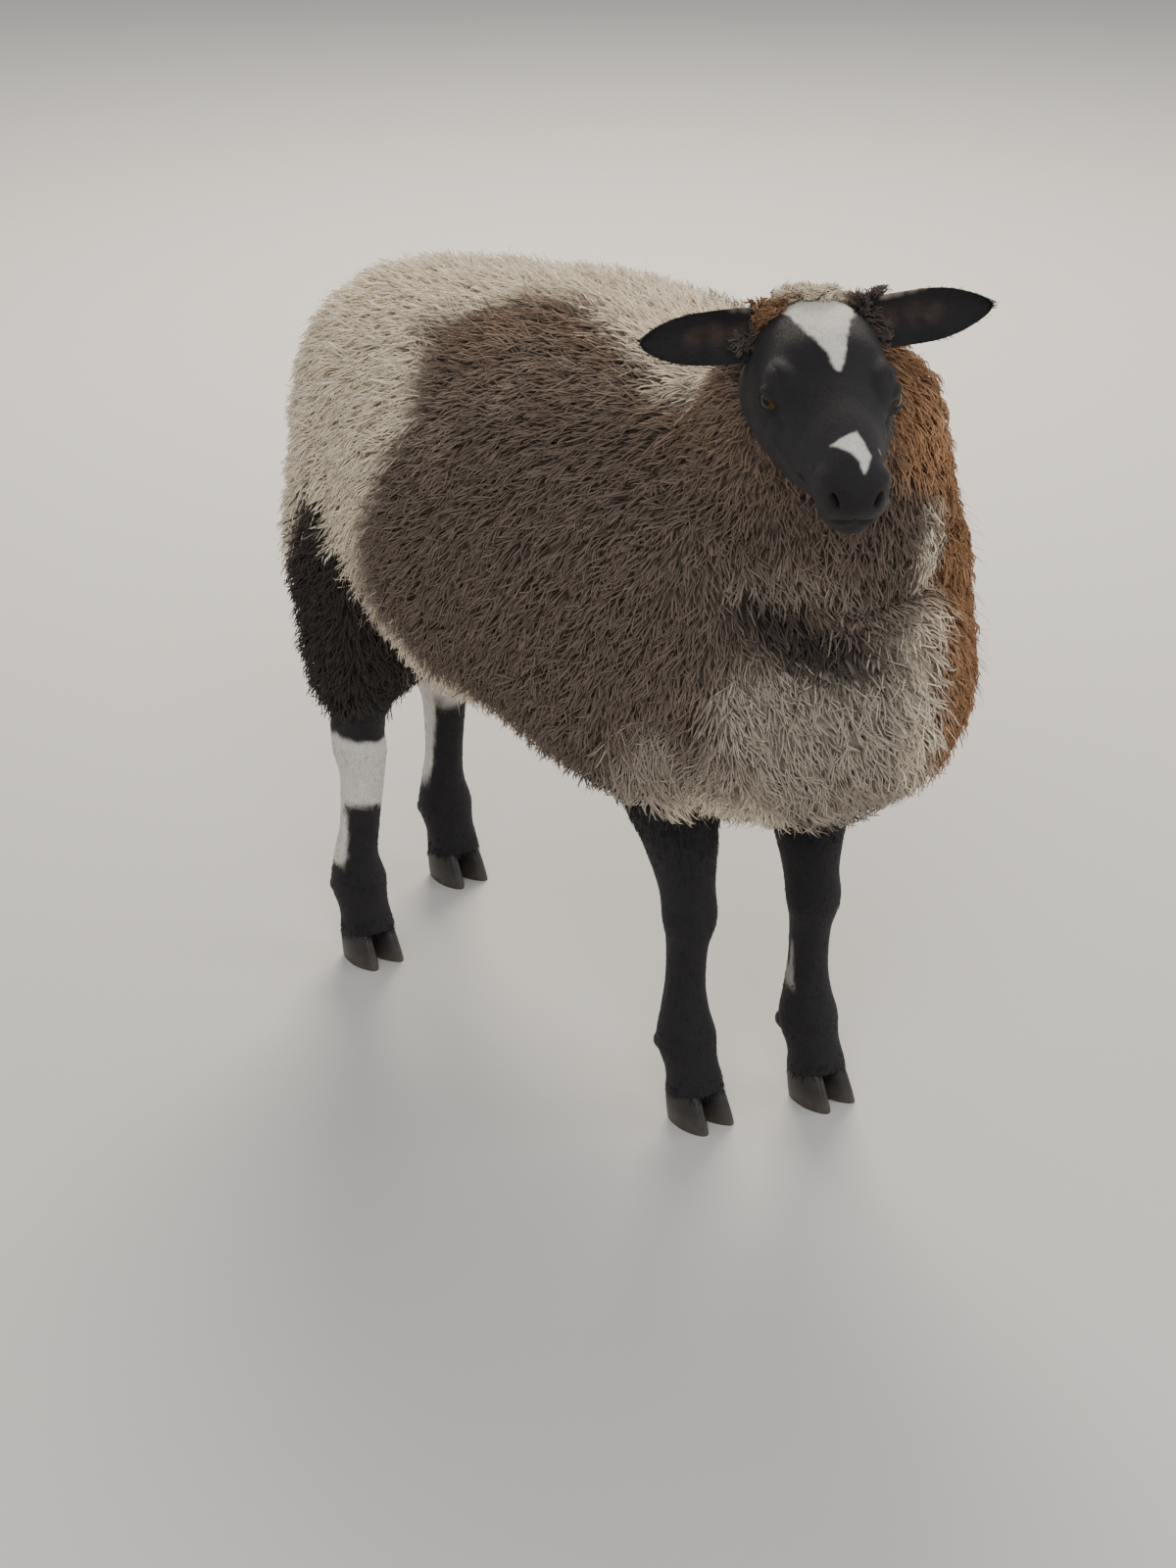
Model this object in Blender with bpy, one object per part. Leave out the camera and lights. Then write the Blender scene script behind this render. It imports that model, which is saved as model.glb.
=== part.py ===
"""A hornless spotted ram, standing with its head turned to its right: a life-size still model.

Run with: blender --background --python part.py

Metres, +Z up. The ram faces -Y, its left side is +X, and the origin is on the ground under its body.
The fleece is a core with rounded clumps of wool on it, and the face and the lower legs are bare of wool.
The body is shaped whole and then parted by thin cuts, so that neighbours meet face to face.
"""

import math
import random

import bmesh
import bpy
import numpy as np
from mathutils import Matrix, Vector
from mathutils.bvhtree import BVHTree

# Fit between neighbouring nodes
GAP = 0.0003
GROW = 0.0004

# Fleece: how far the tips stand off the core, and how wide and how far apart the clumps are
CLUMP_RISE = 0.024
CLUMP_SPACING = 0.0875
CLUMP_RADIUS = 0.060
CLUMP_CLEAR = 0.028
CLUMP_SIDES = 6
THIGH_CLUMP = 0.80
CLUMP_SEED = 11

# Trunk, measured to the tips of the fleece
BREECH_Y = 0.425
CHEST_Y = -0.475
RUMP_TOP = 0.793
LOIN_TOP = 0.810
WITHERS_TOP = 0.822
BELLY_LOW = 0.345
BRISKET_LOW = 0.312
RUMP_HALF = 0.132
BARREL_HALF = 0.218
SHOULDER_HALF = 0.196

# Neck, measured to the tips of the fleece
NECK_ROOT = Vector((0.0, -0.20, 0.600))
NECK_MID = Vector((-0.012, -0.333, 0.712))
NECK_HEAD = Vector((-0.076, -0.402, 0.808))
NECK_ROOT_RADIUS = 0.165
NECK_MID_RADIUS = 0.134
NECK_HEAD_RADIUS = 0.102

# Where the neck is parted from the trunk
NECK_CUT_POINT = Vector((0.0, -0.330, 0.722))
NECK_CUT_NORMAL = Vector((-0.10, -0.50, 0.86)).normalized()

# Head: place and pose, then sizes along the line from the poll to the nose
POLL = Vector((-0.122, -0.452, 0.920))
HEAD_YAW = math.radians(-33.5)
HEAD_PITCH = math.radians(19)
HEAD_ROLL = math.radians(1.5)
HEAD_LENGTH = 0.235
JAW_DEPTH = 0.125
CHEEK_HALF = 0.060
MUZZLE_HALF = 0.032
MUZZLE_DEPTH = 0.062

CHEEK_RADII = (0.022, 0.046, 0.036)

# Eyes, measured in the head's own frame
EYE_RADIUS = 0.0150
EYE_ALONG = 0.098
EYE_DROP = 0.030
EYE_SIDE = 0.0445
LID_HALF_LENGTH = 0.0138
LID_HALF_HEIGHT = 0.0092
LID_THICK = 0.0032

# Topknot
TOPKNOT_SPACING = 0.027
TOPKNOT_RADIUS = 0.020
TOPKNOT_RISE = 0.013
TOPKNOT_SEED = 5

# Ears
EAR_LENGTH = 0.116
EAR_HALF_WIDTH = 0.0270
EAR_THICK = 0.0035
EAR_CUP = 0.014
EAR_STALK = 0.0085
EAR_LIFT = {"left": 0.17, "right": -0.01}
EAR_ROOT_Z = {"left": -0.025, "right": -0.034}

# Legs: where each hoof stands, as the middle of its sole
HOOF_AT = {
    ("fore", "right"): Vector((-0.059, -0.247, 0)),
    ("fore", "left"): Vector((0.066, -0.292, 0)),
    ("hind", "right"): Vector((-0.101, 0.252, 0)),
    ("hind", "left"): Vector((0.095, 0.352, 0)),
}
KNEE_HEIGHT = 0.222
ELBOW_HEIGHT = 0.415
HOCK_HEIGHT = 0.252
HOCK_IN = {"left": -0.002, "right": 0.009}
CORONET_HEIGHT = 0.042
FETLOCK_HEIGHT = 0.088
CLAW_LENGTH = 0.060
CLAW_HALF_WIDTH = 0.0135
CLAW_SPLAY = math.radians(5)

DEWCLAW_RADII = (0.0065, 0.0080, 0.0095)

# Where each leg is parted from the body, and at its knee or hock
THIGH_TOP = 0.365
LEG_MIDDLE = {"fore": KNEE_HEIGHT, "hind": HOCK_HEIGHT}

# Tail and scrotum
TAIL_ROOT = Vector((0, 0.388, 0.690))
TAIL_LENGTH = 0.27
TAIL_HALF_WIDTH = 0.030
SCROTUM_Y = 0.190
SCROTUM_RADII = (0.036, 0.042, 0.052)
SCROTUM_LOW = 0.318

SIDES = {"left": 1, "right": -1}


class Station:
    """One cross-section of a body form: its centre and its reach to the side, up and down."""

    def __init__(self, centre, side, up, down=None, square=2.0):
        self.centre = Vector(centre)
        self.side = side
        self.up = up
        self.down = up if down is None else down
        self.square = square

    def row(self):
        return [*self.centre, self.side, self.up, self.down, self.square]


def spline(rows, t):
    """A point on the smooth curve through the rows, with t from 0 at the first to 1 at the last."""
    last = len(rows) - 1
    place = min(max(t, 0.0), 1.0) * last
    i = min(int(place), last - 1)
    f = place - i
    a, b, c, d = (rows[min(max(k, 0), last)] for k in (i - 1, i, i + 1, i + 2))
    return 0.5 * (2 * b + (c - a) * f + (2 * a - 5 * b + 4 * c - d) * f**2 + (3 * b - a - 3 * c + d) * f**3)


class Loft:
    """A body form: a smooth skin through its stations, with closed ends."""

    def __init__(self, stations, top=(0, 0, 1), shrink=0.0):
        self.rows = np.array([s.row() for s in stations], float)
        self.rows[:, 3:6] = np.maximum(self.rows[:, 3:6] - shrink, 0.002)
        self.top = Vector(top).normalized()

    def frame(self, t):
        """Centre, side and top directions, and the tangent, at t."""
        step = 0.01
        ahead = spline(self.rows, t + step)[:3]
        behind = spline(self.rows, t - step)[:3]
        along = Vector(ahead - behind).normalized()
        side = along.cross(self.top).normalized()
        return spline(self.rows, t), side, side.cross(along).normalized(), along

    def point(self, t, angle, grow=0.0):
        """The point of the skin at t, at this angle from the side towards the top."""
        row, side, top, _ = self.frame(t)
        c, s = math.cos(angle), math.sin(angle)
        power = 2.0 / row[6]
        reach = row[4] if s >= 0 else row[5]
        across = math.copysign(abs(c) ** power, c) * (row[3] + grow)
        height = math.copysign(abs(s) ** power, s) * (reach + grow)
        return Vector(row[:3]) + side * across + top * height

    def length(self):
        places = [Vector(spline(self.rows, k / 20)[:3]) for k in range(21)]
        return sum((b - a).length for a, b in zip(places, places[1:]))

    def mesh(self, name, rings, sides, grow=0.0):
        """The form as an object, with a fan at each end."""
        shape = bmesh.new()
        loops = []
        for i in range(rings):
            t = i / (rings - 1)
            loops.append([shape.verts.new(self.point(t, math.tau * k / sides, grow)) for k in range(sides)])
        for one, two in zip(loops, loops[1:]):
            for k in range(sides):
                shape.faces.new((one[k], one[(k + 1) % sides], two[(k + 1) % sides], two[k]))
        for loop, t, sense in ((loops[0], 0.0, -1), (loops[-1], 1.0, 1)):
            row, _, _, along = self.frame(t)
            bulge = 0.3 * min(row[3], row[4], row[5]) + grow
            pole = shape.verts.new(Vector(row[:3]) + along * sense * bulge)
            for k in range(sides):
                shape.faces.new((loop[k], loop[(k + 1) % sides], pole))
        return finished(name, shape)


def finished(name, shape):
    """Makes an object of a bmesh, with its faces pointing out."""
    bmesh.ops.recalc_face_normals(shape, faces=shape.faces)
    data = bpy.data.meshes.new(name)
    shape.to_mesh(data)
    shape.free()
    made = bpy.data.objects.new(name, data)
    bpy.context.scene.collection.objects.link(made)
    return made


def group(name, pieces):
    """Puts the pieces in a collection of their own."""
    found = bpy.data.collections.new(name)
    bpy.context.scene.collection.children.link(found)
    for piece in pieces:
        for old in list(piece.users_collection):
            old.objects.unlink(piece)
        found.objects.link(piece)
    return found


def combine(base, pieces, operation):
    """Joins the pieces to base, or cuts them from it, and removes them."""
    if not pieces:
        return base
    tools = group(f"{base.name}_tools", pieces)
    change = base.modifiers.new(operation.lower(), "BOOLEAN")
    change.operation = operation
    change.operand_type = "COLLECTION"
    change.collection = tools
    change.solver = "MANIFOLD"
    apply_modifiers(base)
    for piece in pieces:
        bpy.data.objects.remove(piece)
    bpy.data.collections.remove(tools)
    return base


def apply_modifiers(made):
    """Replaces the object's mesh with what its modifiers make of it."""
    graph = bpy.context.evaluated_depsgraph_get()
    data = bpy.data.meshes.new_from_object(made.evaluated_get(graph))
    made.modifiers.clear()
    old = made.data
    made.data = data
    bpy.data.meshes.remove(old)


def keep_largest(made):
    """Drops loose scraps and sealed hollows: only the largest closed surface stays."""
    shape = bmesh.new()
    shape.from_mesh(made.data)
    left = set(shape.verts)
    islands = []
    while left:
        stack = [left.pop()]
        island = list(stack)
        while stack:
            for edge in stack.pop().link_edges:
                for vert in edge.verts:
                    if vert in left:
                        left.remove(vert)
                        island.append(vert)
                        stack.append(vert)
        islands.append(island)
    islands.sort(key=len, reverse=True)
    for island in islands[1:]:
        bmesh.ops.delete(shape, geom=island, context="VERTS")
    shape.to_mesh(made.data)
    shape.free()
    return made


def copy_of(made, name):
    """A separate copy of an object."""
    twin = bpy.data.objects.new(name, made.data.copy())
    bpy.context.scene.collection.objects.link(twin)
    return twin


def half_space(point, normal, gap=0.0, size=2.0):
    """A large box that fills the side of a plane that the normal points to, from gap beyond it."""
    shape = bmesh.new()
    turn = Vector(normal).to_track_quat("Z", "Y").to_matrix().to_4x4()
    place = Matrix.Translation(Vector(point) + Vector(normal) * (gap + size / 2)) @ turn
    bmesh.ops.create_cube(shape, size=size, matrix=place)
    return finished("half_space", shape)


def ellipsoid(name, centre, radii, turn=None, segments=10, rings=7):
    """A turned ellipsoid."""
    shape = bmesh.new()
    bmesh.ops.create_uvsphere(shape, u_segments=segments, v_segments=rings, radius=1.0)
    matrix = Matrix.Translation(centre) @ (turn or Matrix.Identity(3)).to_4x4() @ Matrix.Diagonal((*radii, 1.0))
    bmesh.ops.transform(shape, matrix=matrix, verts=shape.verts)
    return finished(name, shape)


def tree_of(made):
    """A search tree of an object's faces."""
    shape = bmesh.new()
    shape.from_mesh(made.data)
    tree = BVHTree.FromBMesh(shape)
    shape.free()
    return tree


def buried(place, trees, depth):
    """Whether a point lies inside one of the forms by more than this depth."""
    for tree in trees:
        near, normal, _, _ = tree.find_nearest(place)
        if (place - near).dot(normal) < -depth:
            return True
    return False


def material(name, colour, roughness):
    """A plain finish."""
    made = bpy.data.materials.new(name)
    made.use_nodes = True
    shader = made.node_tree.nodes["Principled BSDF"]
    shader.inputs["Base Color"].default_value = (*colour, 1.0)
    shader.inputs["Roughness"].default_value = roughness
    shader.inputs["Metallic"].default_value = 0.0
    return made


# Forms of the fleece-covered body, each to the tips of the wool unless it is shrunk


def trunk(shrink=0.0):
    """Barrel, shoulders and rump, from the breech to the chest."""
    middle = (BREECH_Y + CHEST_Y) / 2

    def section(y, low, high, half, square=2.15, widest=0.47):
        level = low + (high - low) * widest
        return Station((0, y, level), half, high - level, level - low, square)

    return Loft(
        [
            section(BREECH_Y, 0.560, 0.640, 0.040, 2.0),
            section(BREECH_Y - 0.030, 0.490, RUMP_TOP - 0.095, 0.084, 2.0),
            section(BREECH_Y - 0.105, 0.440, RUMP_TOP - 0.034, RUMP_HALF),
            section(BREECH_Y - 0.210, 0.395, RUMP_TOP, RUMP_HALF + 0.042),
            section(middle + 0.100, BELLY_LOW + 0.004, LOIN_TOP, BARREL_HALF - 0.004),
            section(middle - 0.030, BELLY_LOW - 0.004, LOIN_TOP + 0.010, BARREL_HALF),
            section(middle - 0.160, BRISKET_LOW + 0.008, WITHERS_TOP, BARREL_HALF - 0.004, widest=0.44),
            section(CHEST_Y + 0.190, BRISKET_LOW, WITHERS_TOP - 0.010, SHOULDER_HALF, 2.0, 0.44),
            section(CHEST_Y + 0.100, BRISKET_LOW + 0.030, 0.650, SHOULDER_HALF - 0.030, 1.9, 0.516),
            section(CHEST_Y + 0.040, BRISKET_LOW + 0.082, 0.622, 0.114, 1.9, 0.446),
            section(CHEST_Y, 0.420, 0.570, 0.060, 2.0),
        ],
        shrink=shrink,
    )


def neck(shrink=0.0):
    """From inside the trunk up to the back of the head."""
    return Loft(
        [
            Station(NECK_ROOT, NECK_ROOT_RADIUS, NECK_ROOT_RADIUS, NECK_ROOT_RADIUS + 0.010),
            Station(NECK_ROOT.lerp(NECK_MID, 0.55), 0.146, 0.150, 0.178),
            Station(NECK_MID, NECK_MID_RADIUS, NECK_MID_RADIUS, NECK_MID_RADIUS + 0.022),
            Station(NECK_MID.lerp(NECK_HEAD, 0.55), 0.124, 0.118, 0.118),
            Station(NECK_HEAD, NECK_HEAD_RADIUS, NECK_HEAD_RADIUS - 0.004, NECK_HEAD_RADIUS - 0.010),
            Station(NECK_HEAD + Vector((-0.012, -0.022, 0.026)), 0.075, 0.070, 0.062),
        ],
        top=(0, 0.5, 0.85),
        shrink=shrink,
    )


def thigh(side, shrink=0.0):
    """From the hip down to just above the hock."""
    hoof = HOOF_AT["hind", side]
    s = SIDES[side]
    hock_y = hoof.y + 0.032
    return Loft(
        [
            Station((s * 0.072, 0.225, 0.680), 0.074, 0.080, 0.110),
            Station((s * 0.088, 0.240, 0.580), 0.080, 0.102, 0.130),
            Station((s * 0.094, 0.250 + 0.15 * (hoof.y - 0.30), 0.490), 0.084, 0.116, 0.118),
            Station((s * 0.096, 0.262 + 0.45 * (hoof.y - 0.30), 0.410), 0.074, 0.100, 0.090),
            Station((s * 0.098, hock_y - 0.018, 0.340), 0.056, 0.070, 0.062),
            Station((s * (0.099 - HOCK_IN[side]), hock_y - 0.004, 0.290), 0.040, 0.044, 0.043),
        ],
        top=(0, 1, 0),
        shrink=shrink,
    )


def lie_of(place, normal):
    """The way the wool leans: down the sides, and back along the top."""
    wish = Vector((0, 0.35, -1.0)) if normal.z < 0.75 else Vector((0, 1.0, -0.2))
    lean = wish - normal * wish.dot(normal)
    return lean.normalized() if lean.length > 0.05 else normal.orthogonal().normalized()


def clump(place, normal, radius, rise, draw):
    """One rounded clump of wool, sunk in the core and leaning with the lie of the fleece."""
    lean = lie_of(place, normal)
    across = lean.cross(normal).normalized()
    hang = 1.0 + 0.35 * max(0.0, -place.y - 0.30) / 0.15 * (place.z < 0.50)
    wide = radius * draw.uniform(0.90, 1.10)
    long = radius * draw.uniform(0.95, 1.15) * hang
    high = rise * draw.uniform(0.85, 1.12)
    turn = draw.uniform(0, math.tau)
    shape = bmesh.new()
    loops = []
    for level, reach in ((-0.55, 0.62), (0.22, 0.96), (0.74, 0.62)):
        loop = []
        for k in range(CLUMP_SIDES):
            a = turn + math.tau * k / CLUMP_SIDES
            side = across * (math.cos(a) * wide * reach)
            down = lean * (math.sin(a) * long * reach + 0.40 * max(0.0, level) * high)
            loop.append(shape.verts.new(place + side + down + normal * (level * high)))
        loops.append(loop)
    low = shape.verts.new(place - normal * (0.8 * high))
    tip = shape.verts.new(place + normal * high + lean * (0.55 * high))
    for one, two in zip(loops, loops[1:]):
        for k in range(CLUMP_SIDES):
            shape.faces.new((one[k], one[(k + 1) % CLUMP_SIDES], two[(k + 1) % CLUMP_SIDES], two[k]))
    for loop, pole in ((loops[0], low), (loops[-1], tip)):
        for k in range(CLUMP_SIDES):
            shape.faces.new((loop[k], loop[(k + 1) % CLUMP_SIDES], pole))
    return finished("clump", shape)


def candidates(form, count, draw, span):
    """Random places spread evenly over a form, each with its outward normal."""
    steps = [span[0] + (span[1] - span[0]) * (k + 0.5) / 60 for k in range(60)]
    weights = []
    for t in steps:
        row, _, _, _ = form.frame(t)
        ahead = spline(form.rows, t + 0.005)[:3] - spline(form.rows, t - 0.005)[:3]
        weights.append((row[3] + (row[4] + row[5]) / 2) * float(np.linalg.norm(ahead)))
    for t in draw.choices(steps, weights, k=count):
        t += draw.uniform(-0.5, 0.5) * (span[1] - span[0]) / 60
        angle = draw.uniform(0, math.tau)
        place = form.point(t, angle)
        ahead = form.point(t + 0.01, angle) - form.point(t - 0.01, angle)
        beside = form.point(t, angle + 0.05) - form.point(t, angle - 0.05)
        normal = beside.cross(ahead).normalized()
        if normal.dot(place - Vector(spline(form.rows, t)[:3])) < 0:
            normal.negate()
        yield place, normal


def scatter(form, inside, near, size, taken, draw, count=3600, span=(0.004, 0.996)):
    """Clumps set close over a form, none of them in the other forms or closer than the spacing."""
    made = []
    for place, normal in candidates(form, count, draw, span):
        if any((place - other).length < CLUMP_SPACING * (size + other_size) / 2 for other, other_size in taken):
            continue
        if buried(place, inside, 0.010) or buried(place, near, -CLUMP_CLEAR):
            continue
        taken.append((place, size))
        made.append(clump(place, normal, CLUMP_RADIUS * size, CLUMP_RISE * size, draw))
    return made


def fleece_body():
    """The whole fleece-covered body as one closed solid."""
    forms = {
        "trunk": (trunk(CLUMP_RISE), 22, 22),
        "neck": (neck(CLUMP_RISE), 9, 18),
        "thigh_left": (thigh("left", CLUMP_RISE * THIGH_CLUMP), 10, 14),
        "thigh_right": (thigh("right", CLUMP_RISE * THIGH_CLUMP), 10, 14),
    }
    cores = {name: form.mesh(name, rings, sides) for name, (form, rings, sides) in forms.items()}
    trees = {name: tree_of(core) for name, core in cores.items()}
    kept_clear = [tail("clear"), scrotum("clear")]
    near = [tree_of(made) for made in kept_clear]
    for made in kept_clear:
        bpy.data.objects.remove(made)
    draw = random.Random(CLUMP_SEED)
    pieces, taken = [], []
    for name, (form, _, _) in forms.items():
        inside = [tree for other, tree in trees.items() if other != name]
        size = THIGH_CLUMP if name.startswith("thigh") else 1.0
        pieces += scatter(form, inside, near, size, taken, draw)
    base = cores.pop("trunk")
    return keep_largest(combine(base, list(cores.values()) + pieces, "UNION"))


# Head


def head_frame():
    """The matrix from the head's own frame, nose along -Y and crown up, to the model."""
    turn = Matrix.Rotation(HEAD_YAW, 3, "Z") @ Matrix.Rotation(HEAD_PITCH, 3, "X") @ Matrix.Rotation(HEAD_ROLL, 3, "Y")
    return Matrix.Translation(POLL) @ turn.to_4x4()


def head_form(shrink=0.0):
    """The skull with the flesh of the face, from the nape to the nose."""

    def section(along, top, low, half, square=2.2):
        height = (top - low) / 2
        return Station((0, -along, low + height), half, height, height, square)

    length = HEAD_LENGTH
    return Loft(
        [
            section(-0.030, -0.018, -0.090, 0.034, 2.0),
            section(0.000, 0.002, -0.110, CHEEK_HALF - 0.010),
            section(0.036, 0.012, -JAW_DEPTH + 0.004, CHEEK_HALF),
            section(0.072, 0.014, -JAW_DEPTH, CHEEK_HALF + 0.002),
            section(0.105, 0.009, -JAW_DEPTH + 0.010, CHEEK_HALF - 0.006),
            section(0.138, 0.005, -0.098, 0.043),
            section(0.170, 0.003, -0.081, MUZZLE_HALF + 0.003),
            section(length - 0.034, -0.001, -MUZZLE_DEPTH - 0.008, MUZZLE_HALF - 0.001),
            section(length - 0.014, -0.006, -MUZZLE_DEPTH - 0.004, MUZZLE_HALF - 0.001),
            section(length - 0.001, -0.015, -MUZZLE_DEPTH + 0.004, MUZZLE_HALF - 0.006),
            section(length + 0.006, -0.026, -MUZZLE_DEPTH + 0.014, MUZZLE_HALF - 0.016, 2.0),
        ],
        shrink=shrink,
    )


def placed(made, matrix):
    """Moves an object's mesh by a matrix."""
    made.data.transform(matrix)
    return made


def head_socket():
    """The head with its cheeks, a fit larger all round, to cut its place in the wool of the neck."""
    made = head_form().mesh("head_socket", 19, 18, GROW)
    return placed(combine(made, cheeks(GROW), "UNION"), head_frame())


def eye_place(side):
    """The middle of an eyeball in the head's own frame."""
    return Vector((SIDES[side] * EYE_SIDE, -EYE_ALONG, -EYE_DROP))


def eyeball(side, grow=0.0, segments=12, rings=8):
    """An eyeball in the model's frame."""
    r = EYE_RADIUS + grow
    made = ellipsoid(f"eye_{side}", eye_place(side), (r, r, r), segments=segments, rings=rings)
    return placed(made, head_frame())


def gaze(side):
    """The way an eye looks, with the directions along and across its opening, in the head's own frame."""
    look = Vector((SIDES[side] * 0.86, -0.48, 0.16)).normalized()
    up = (Vector((0, 0.10, 1)) - look * look.z).normalized()
    return look, look.cross(up), up


def tube(name, path, radii, sides=5):
    """A closed ring of round section through the points of the path."""
    shape = bmesh.new()
    loops = []
    count = len(path)
    middle = sum(path, Vector()) / count
    for k, place in enumerate(path):
        along = (path[(k + 1) % count] - path[k - 1]).normalized()
        out = (place - middle).normalized()
        out = (out - along * out.dot(along)).normalized()
        third = along.cross(out)
        ring = []
        for m in range(sides):
            a = math.tau * m / sides
            ring.append(shape.verts.new(place + (out * math.cos(a) + third * math.sin(a)) * radii[k]))
        loops.append(ring)
    for k in range(count):
        one, two = loops[k], loops[(k + 1) % count]
        for m in range(sides):
            shape.faces.new((one[m], one[(m + 1) % sides], two[(m + 1) % sides], two[m]))
    return finished(name, shape)


def lids(side):
    """The upper and lower lids: a fold that follows the eyeball round an almond-shaped opening."""
    look, along, up = gaze(side)
    path, radii = [], []
    for k in range(12):
        a = math.tau * k / 12
        x = math.cos(a) * LID_HALF_LENGTH
        z = math.sin(a) * LID_HALF_HEIGHT
        deep = math.sqrt(max(0.0, EYE_RADIUS**2 - x * x - z * z))
        path.append(eye_place(side) + look * (deep + 0.0004) + along * x + up * z)
        radii.append(LID_THICK * (1.0 + 0.25 * max(0.0, math.sin(a))))
    return tube("lids", path, radii)


def cheeks(grow=0.0):
    """The chewing muscles, on either side of the jaw."""
    made = []
    for s in SIDES.values():
        turn = Matrix.Rotation(s * math.radians(-14), 3, "Z")
        size = Vector(CHEEK_RADII) + Vector((grow, grow, grow))
        made.append(ellipsoid("cheek", (s * 0.040, -0.040, -0.076), size, turn, 10, 6))
    return made


def face_forms():
    """Bony rims of the eyes, nostril wings and chin, which stand out from the smooth head."""
    made = []
    tip = HEAD_LENGTH
    for s in SIDES.values():
        turn = Matrix.Rotation(s * math.radians(-14), 3, "Z")
        made.append(ellipsoid("orbit", (s * 0.0380, -0.094, -0.023), (0.0185, 0.033, 0.024), turn, 10, 6))
        made.append(ellipsoid("wing", (s * 0.0175, 0.018 - tip, -0.024), (0.0130, 0.022, 0.013), turn, 8, 6))
    made.append(ellipsoid("chin", (0, 0.026 - tip, -0.0590), (0.0235, 0.029, 0.0145), segments=8, rings=6))
    return made


def nostril(side):
    """The slit of one nostril, slanting down and in towards the lip."""
    s = SIDES[side]
    turn = Matrix.Rotation(s * math.radians(40), 3, "Z") @ Matrix.Rotation(math.radians(-32), 3, "X")
    return ellipsoid("nostril", (s * 0.0195, 0.001 - HEAD_LENGTH, -0.0270), (0.0046, 0.0150, 0.0076), turn, 8, 6)


def mouth():
    """The groove between the lips, round the muzzle to the corners of the mouth."""
    tilt = Matrix.Rotation(math.radians(4), 3, "X")
    plate = ellipsoid("mouth", (0, 0.040 - HEAD_LENGTH, -0.0520), (0.050, 0.054, 0.0017), tilt, segments=16, rings=4)
    return combine(plate, [head_form(0.0045).mesh("inside", 12, 12)], "DIFFERENCE")


def topknot():
    """Small clumps of wool on the crown, between the ears and back over the nape."""
    form = head_form()
    draw = random.Random(TOPKNOT_SEED)
    made, taken = [], []
    for place, normal in candidates(form, 1200, draw, (0.02, 0.34)):
        if normal.z < 0.35 or place.y < -0.030 or abs(place.x) > 0.046:
            continue
        if any((place - other).length < TOPKNOT_SPACING for other in taken):
            continue
        taken.append(place)
        made.append(clump(place, normal, TOPKNOT_RADIUS, TOPKNOT_RISE, draw))
    return made


def whole_head():
    """The head with its lids, nostrils, mouth and topknot, and the sockets of the eyes and ears."""
    made = head_form().mesh("head", 19, 18)
    combine(made, cheeks() + face_forms() + topknot() + [lids(side) for side in SIDES], "UNION")
    combine(made, [mouth()] + [nostril(side) for side in SIDES], "DIFFERENCE")
    placed(made, head_frame())
    combine(made, [cut for side in SIDES for cut in (eyeball(side, GROW), ear(side, "socket", GROW))], "DIFFERENCE")
    return keep_largest(made)


# Legs


def leg_line(end, side):
    """Stations of a lower leg, from the coronet up, for the bare part below the fleece."""
    hoof = HOOF_AT[end, side]
    x, y = hoof.x, hoof.y
    back = 0.012
    low = [
        Station((x, y + back, CORONET_HEIGHT - 0.004), 0.0250, 0.0260, 0.0262),
        Station((x, y + back + 0.005, 0.062), 0.0260, 0.0262, 0.0262),
        Station((x, y + back + 0.012, FETLOCK_HEIGHT), 0.0290, 0.0305, 0.0285),
        Station((x, y + back + 0.015, 0.118), 0.0228, 0.0245, 0.0235),
    ]
    if end == "fore":
        return low + [
            Station((x, y + back + 0.015, 0.150), 0.0190, 0.0205, 0.0200),
            Station((x, y + back + 0.013, KNEE_HEIGHT - 0.032), 0.0200, 0.0215, 0.0210),
            Station((x, y + back + 0.010, KNEE_HEIGHT), 0.0265, 0.0265, 0.0265),
            Station((x, y + back + 0.014, KNEE_HEIGHT + 0.034), 0.0265, 0.0300, 0.0285),
            Station((x * 1.05, y + back + 0.022, 0.310), 0.0350, 0.0440, 0.0390),
            Station((x * 1.15, y + back + 0.034, 0.360), 0.0420, 0.0570, 0.0480),
            Station((x * 1.25, y + back + 0.045, ELBOW_HEIGHT), 0.0440, 0.0600, 0.0520),
        ]
    hock_x = x - SIDES[side] * HOCK_IN[side]
    hock_y = y + 0.024
    return low + [
        Station(((x + hock_x) / 2, y + back + 0.014, 0.150), 0.0195, 0.0225, 0.0215),
        Station((hock_x, y + back + 0.013, HOCK_HEIGHT - 0.045), 0.0215, 0.0265, 0.0250),
        Station((hock_x, hock_y + 0.003, HOCK_HEIGHT - 0.015), 0.0260, 0.0310, 0.0300),
        Station((hock_x, hock_y + 0.004, HOCK_HEIGHT + 0.012), 0.0245, 0.0385, 0.0300),
        Station((hock_x * 1.02, hock_y - 0.004, HOCK_HEIGHT + 0.044), 0.0245, 0.0300, 0.0310),
        Station((hock_x * 1.05, hock_y - 0.020, 0.345), 0.0330, 0.0420, 0.0460),
    ]


def leg(end, side, name, grow=0.0):
    """A whole bare leg, from the coronet up into the fleece."""
    return Loft(leg_line(end, side), top=(0, 1, 0)).mesh(name, 20, 10, grow)


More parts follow.
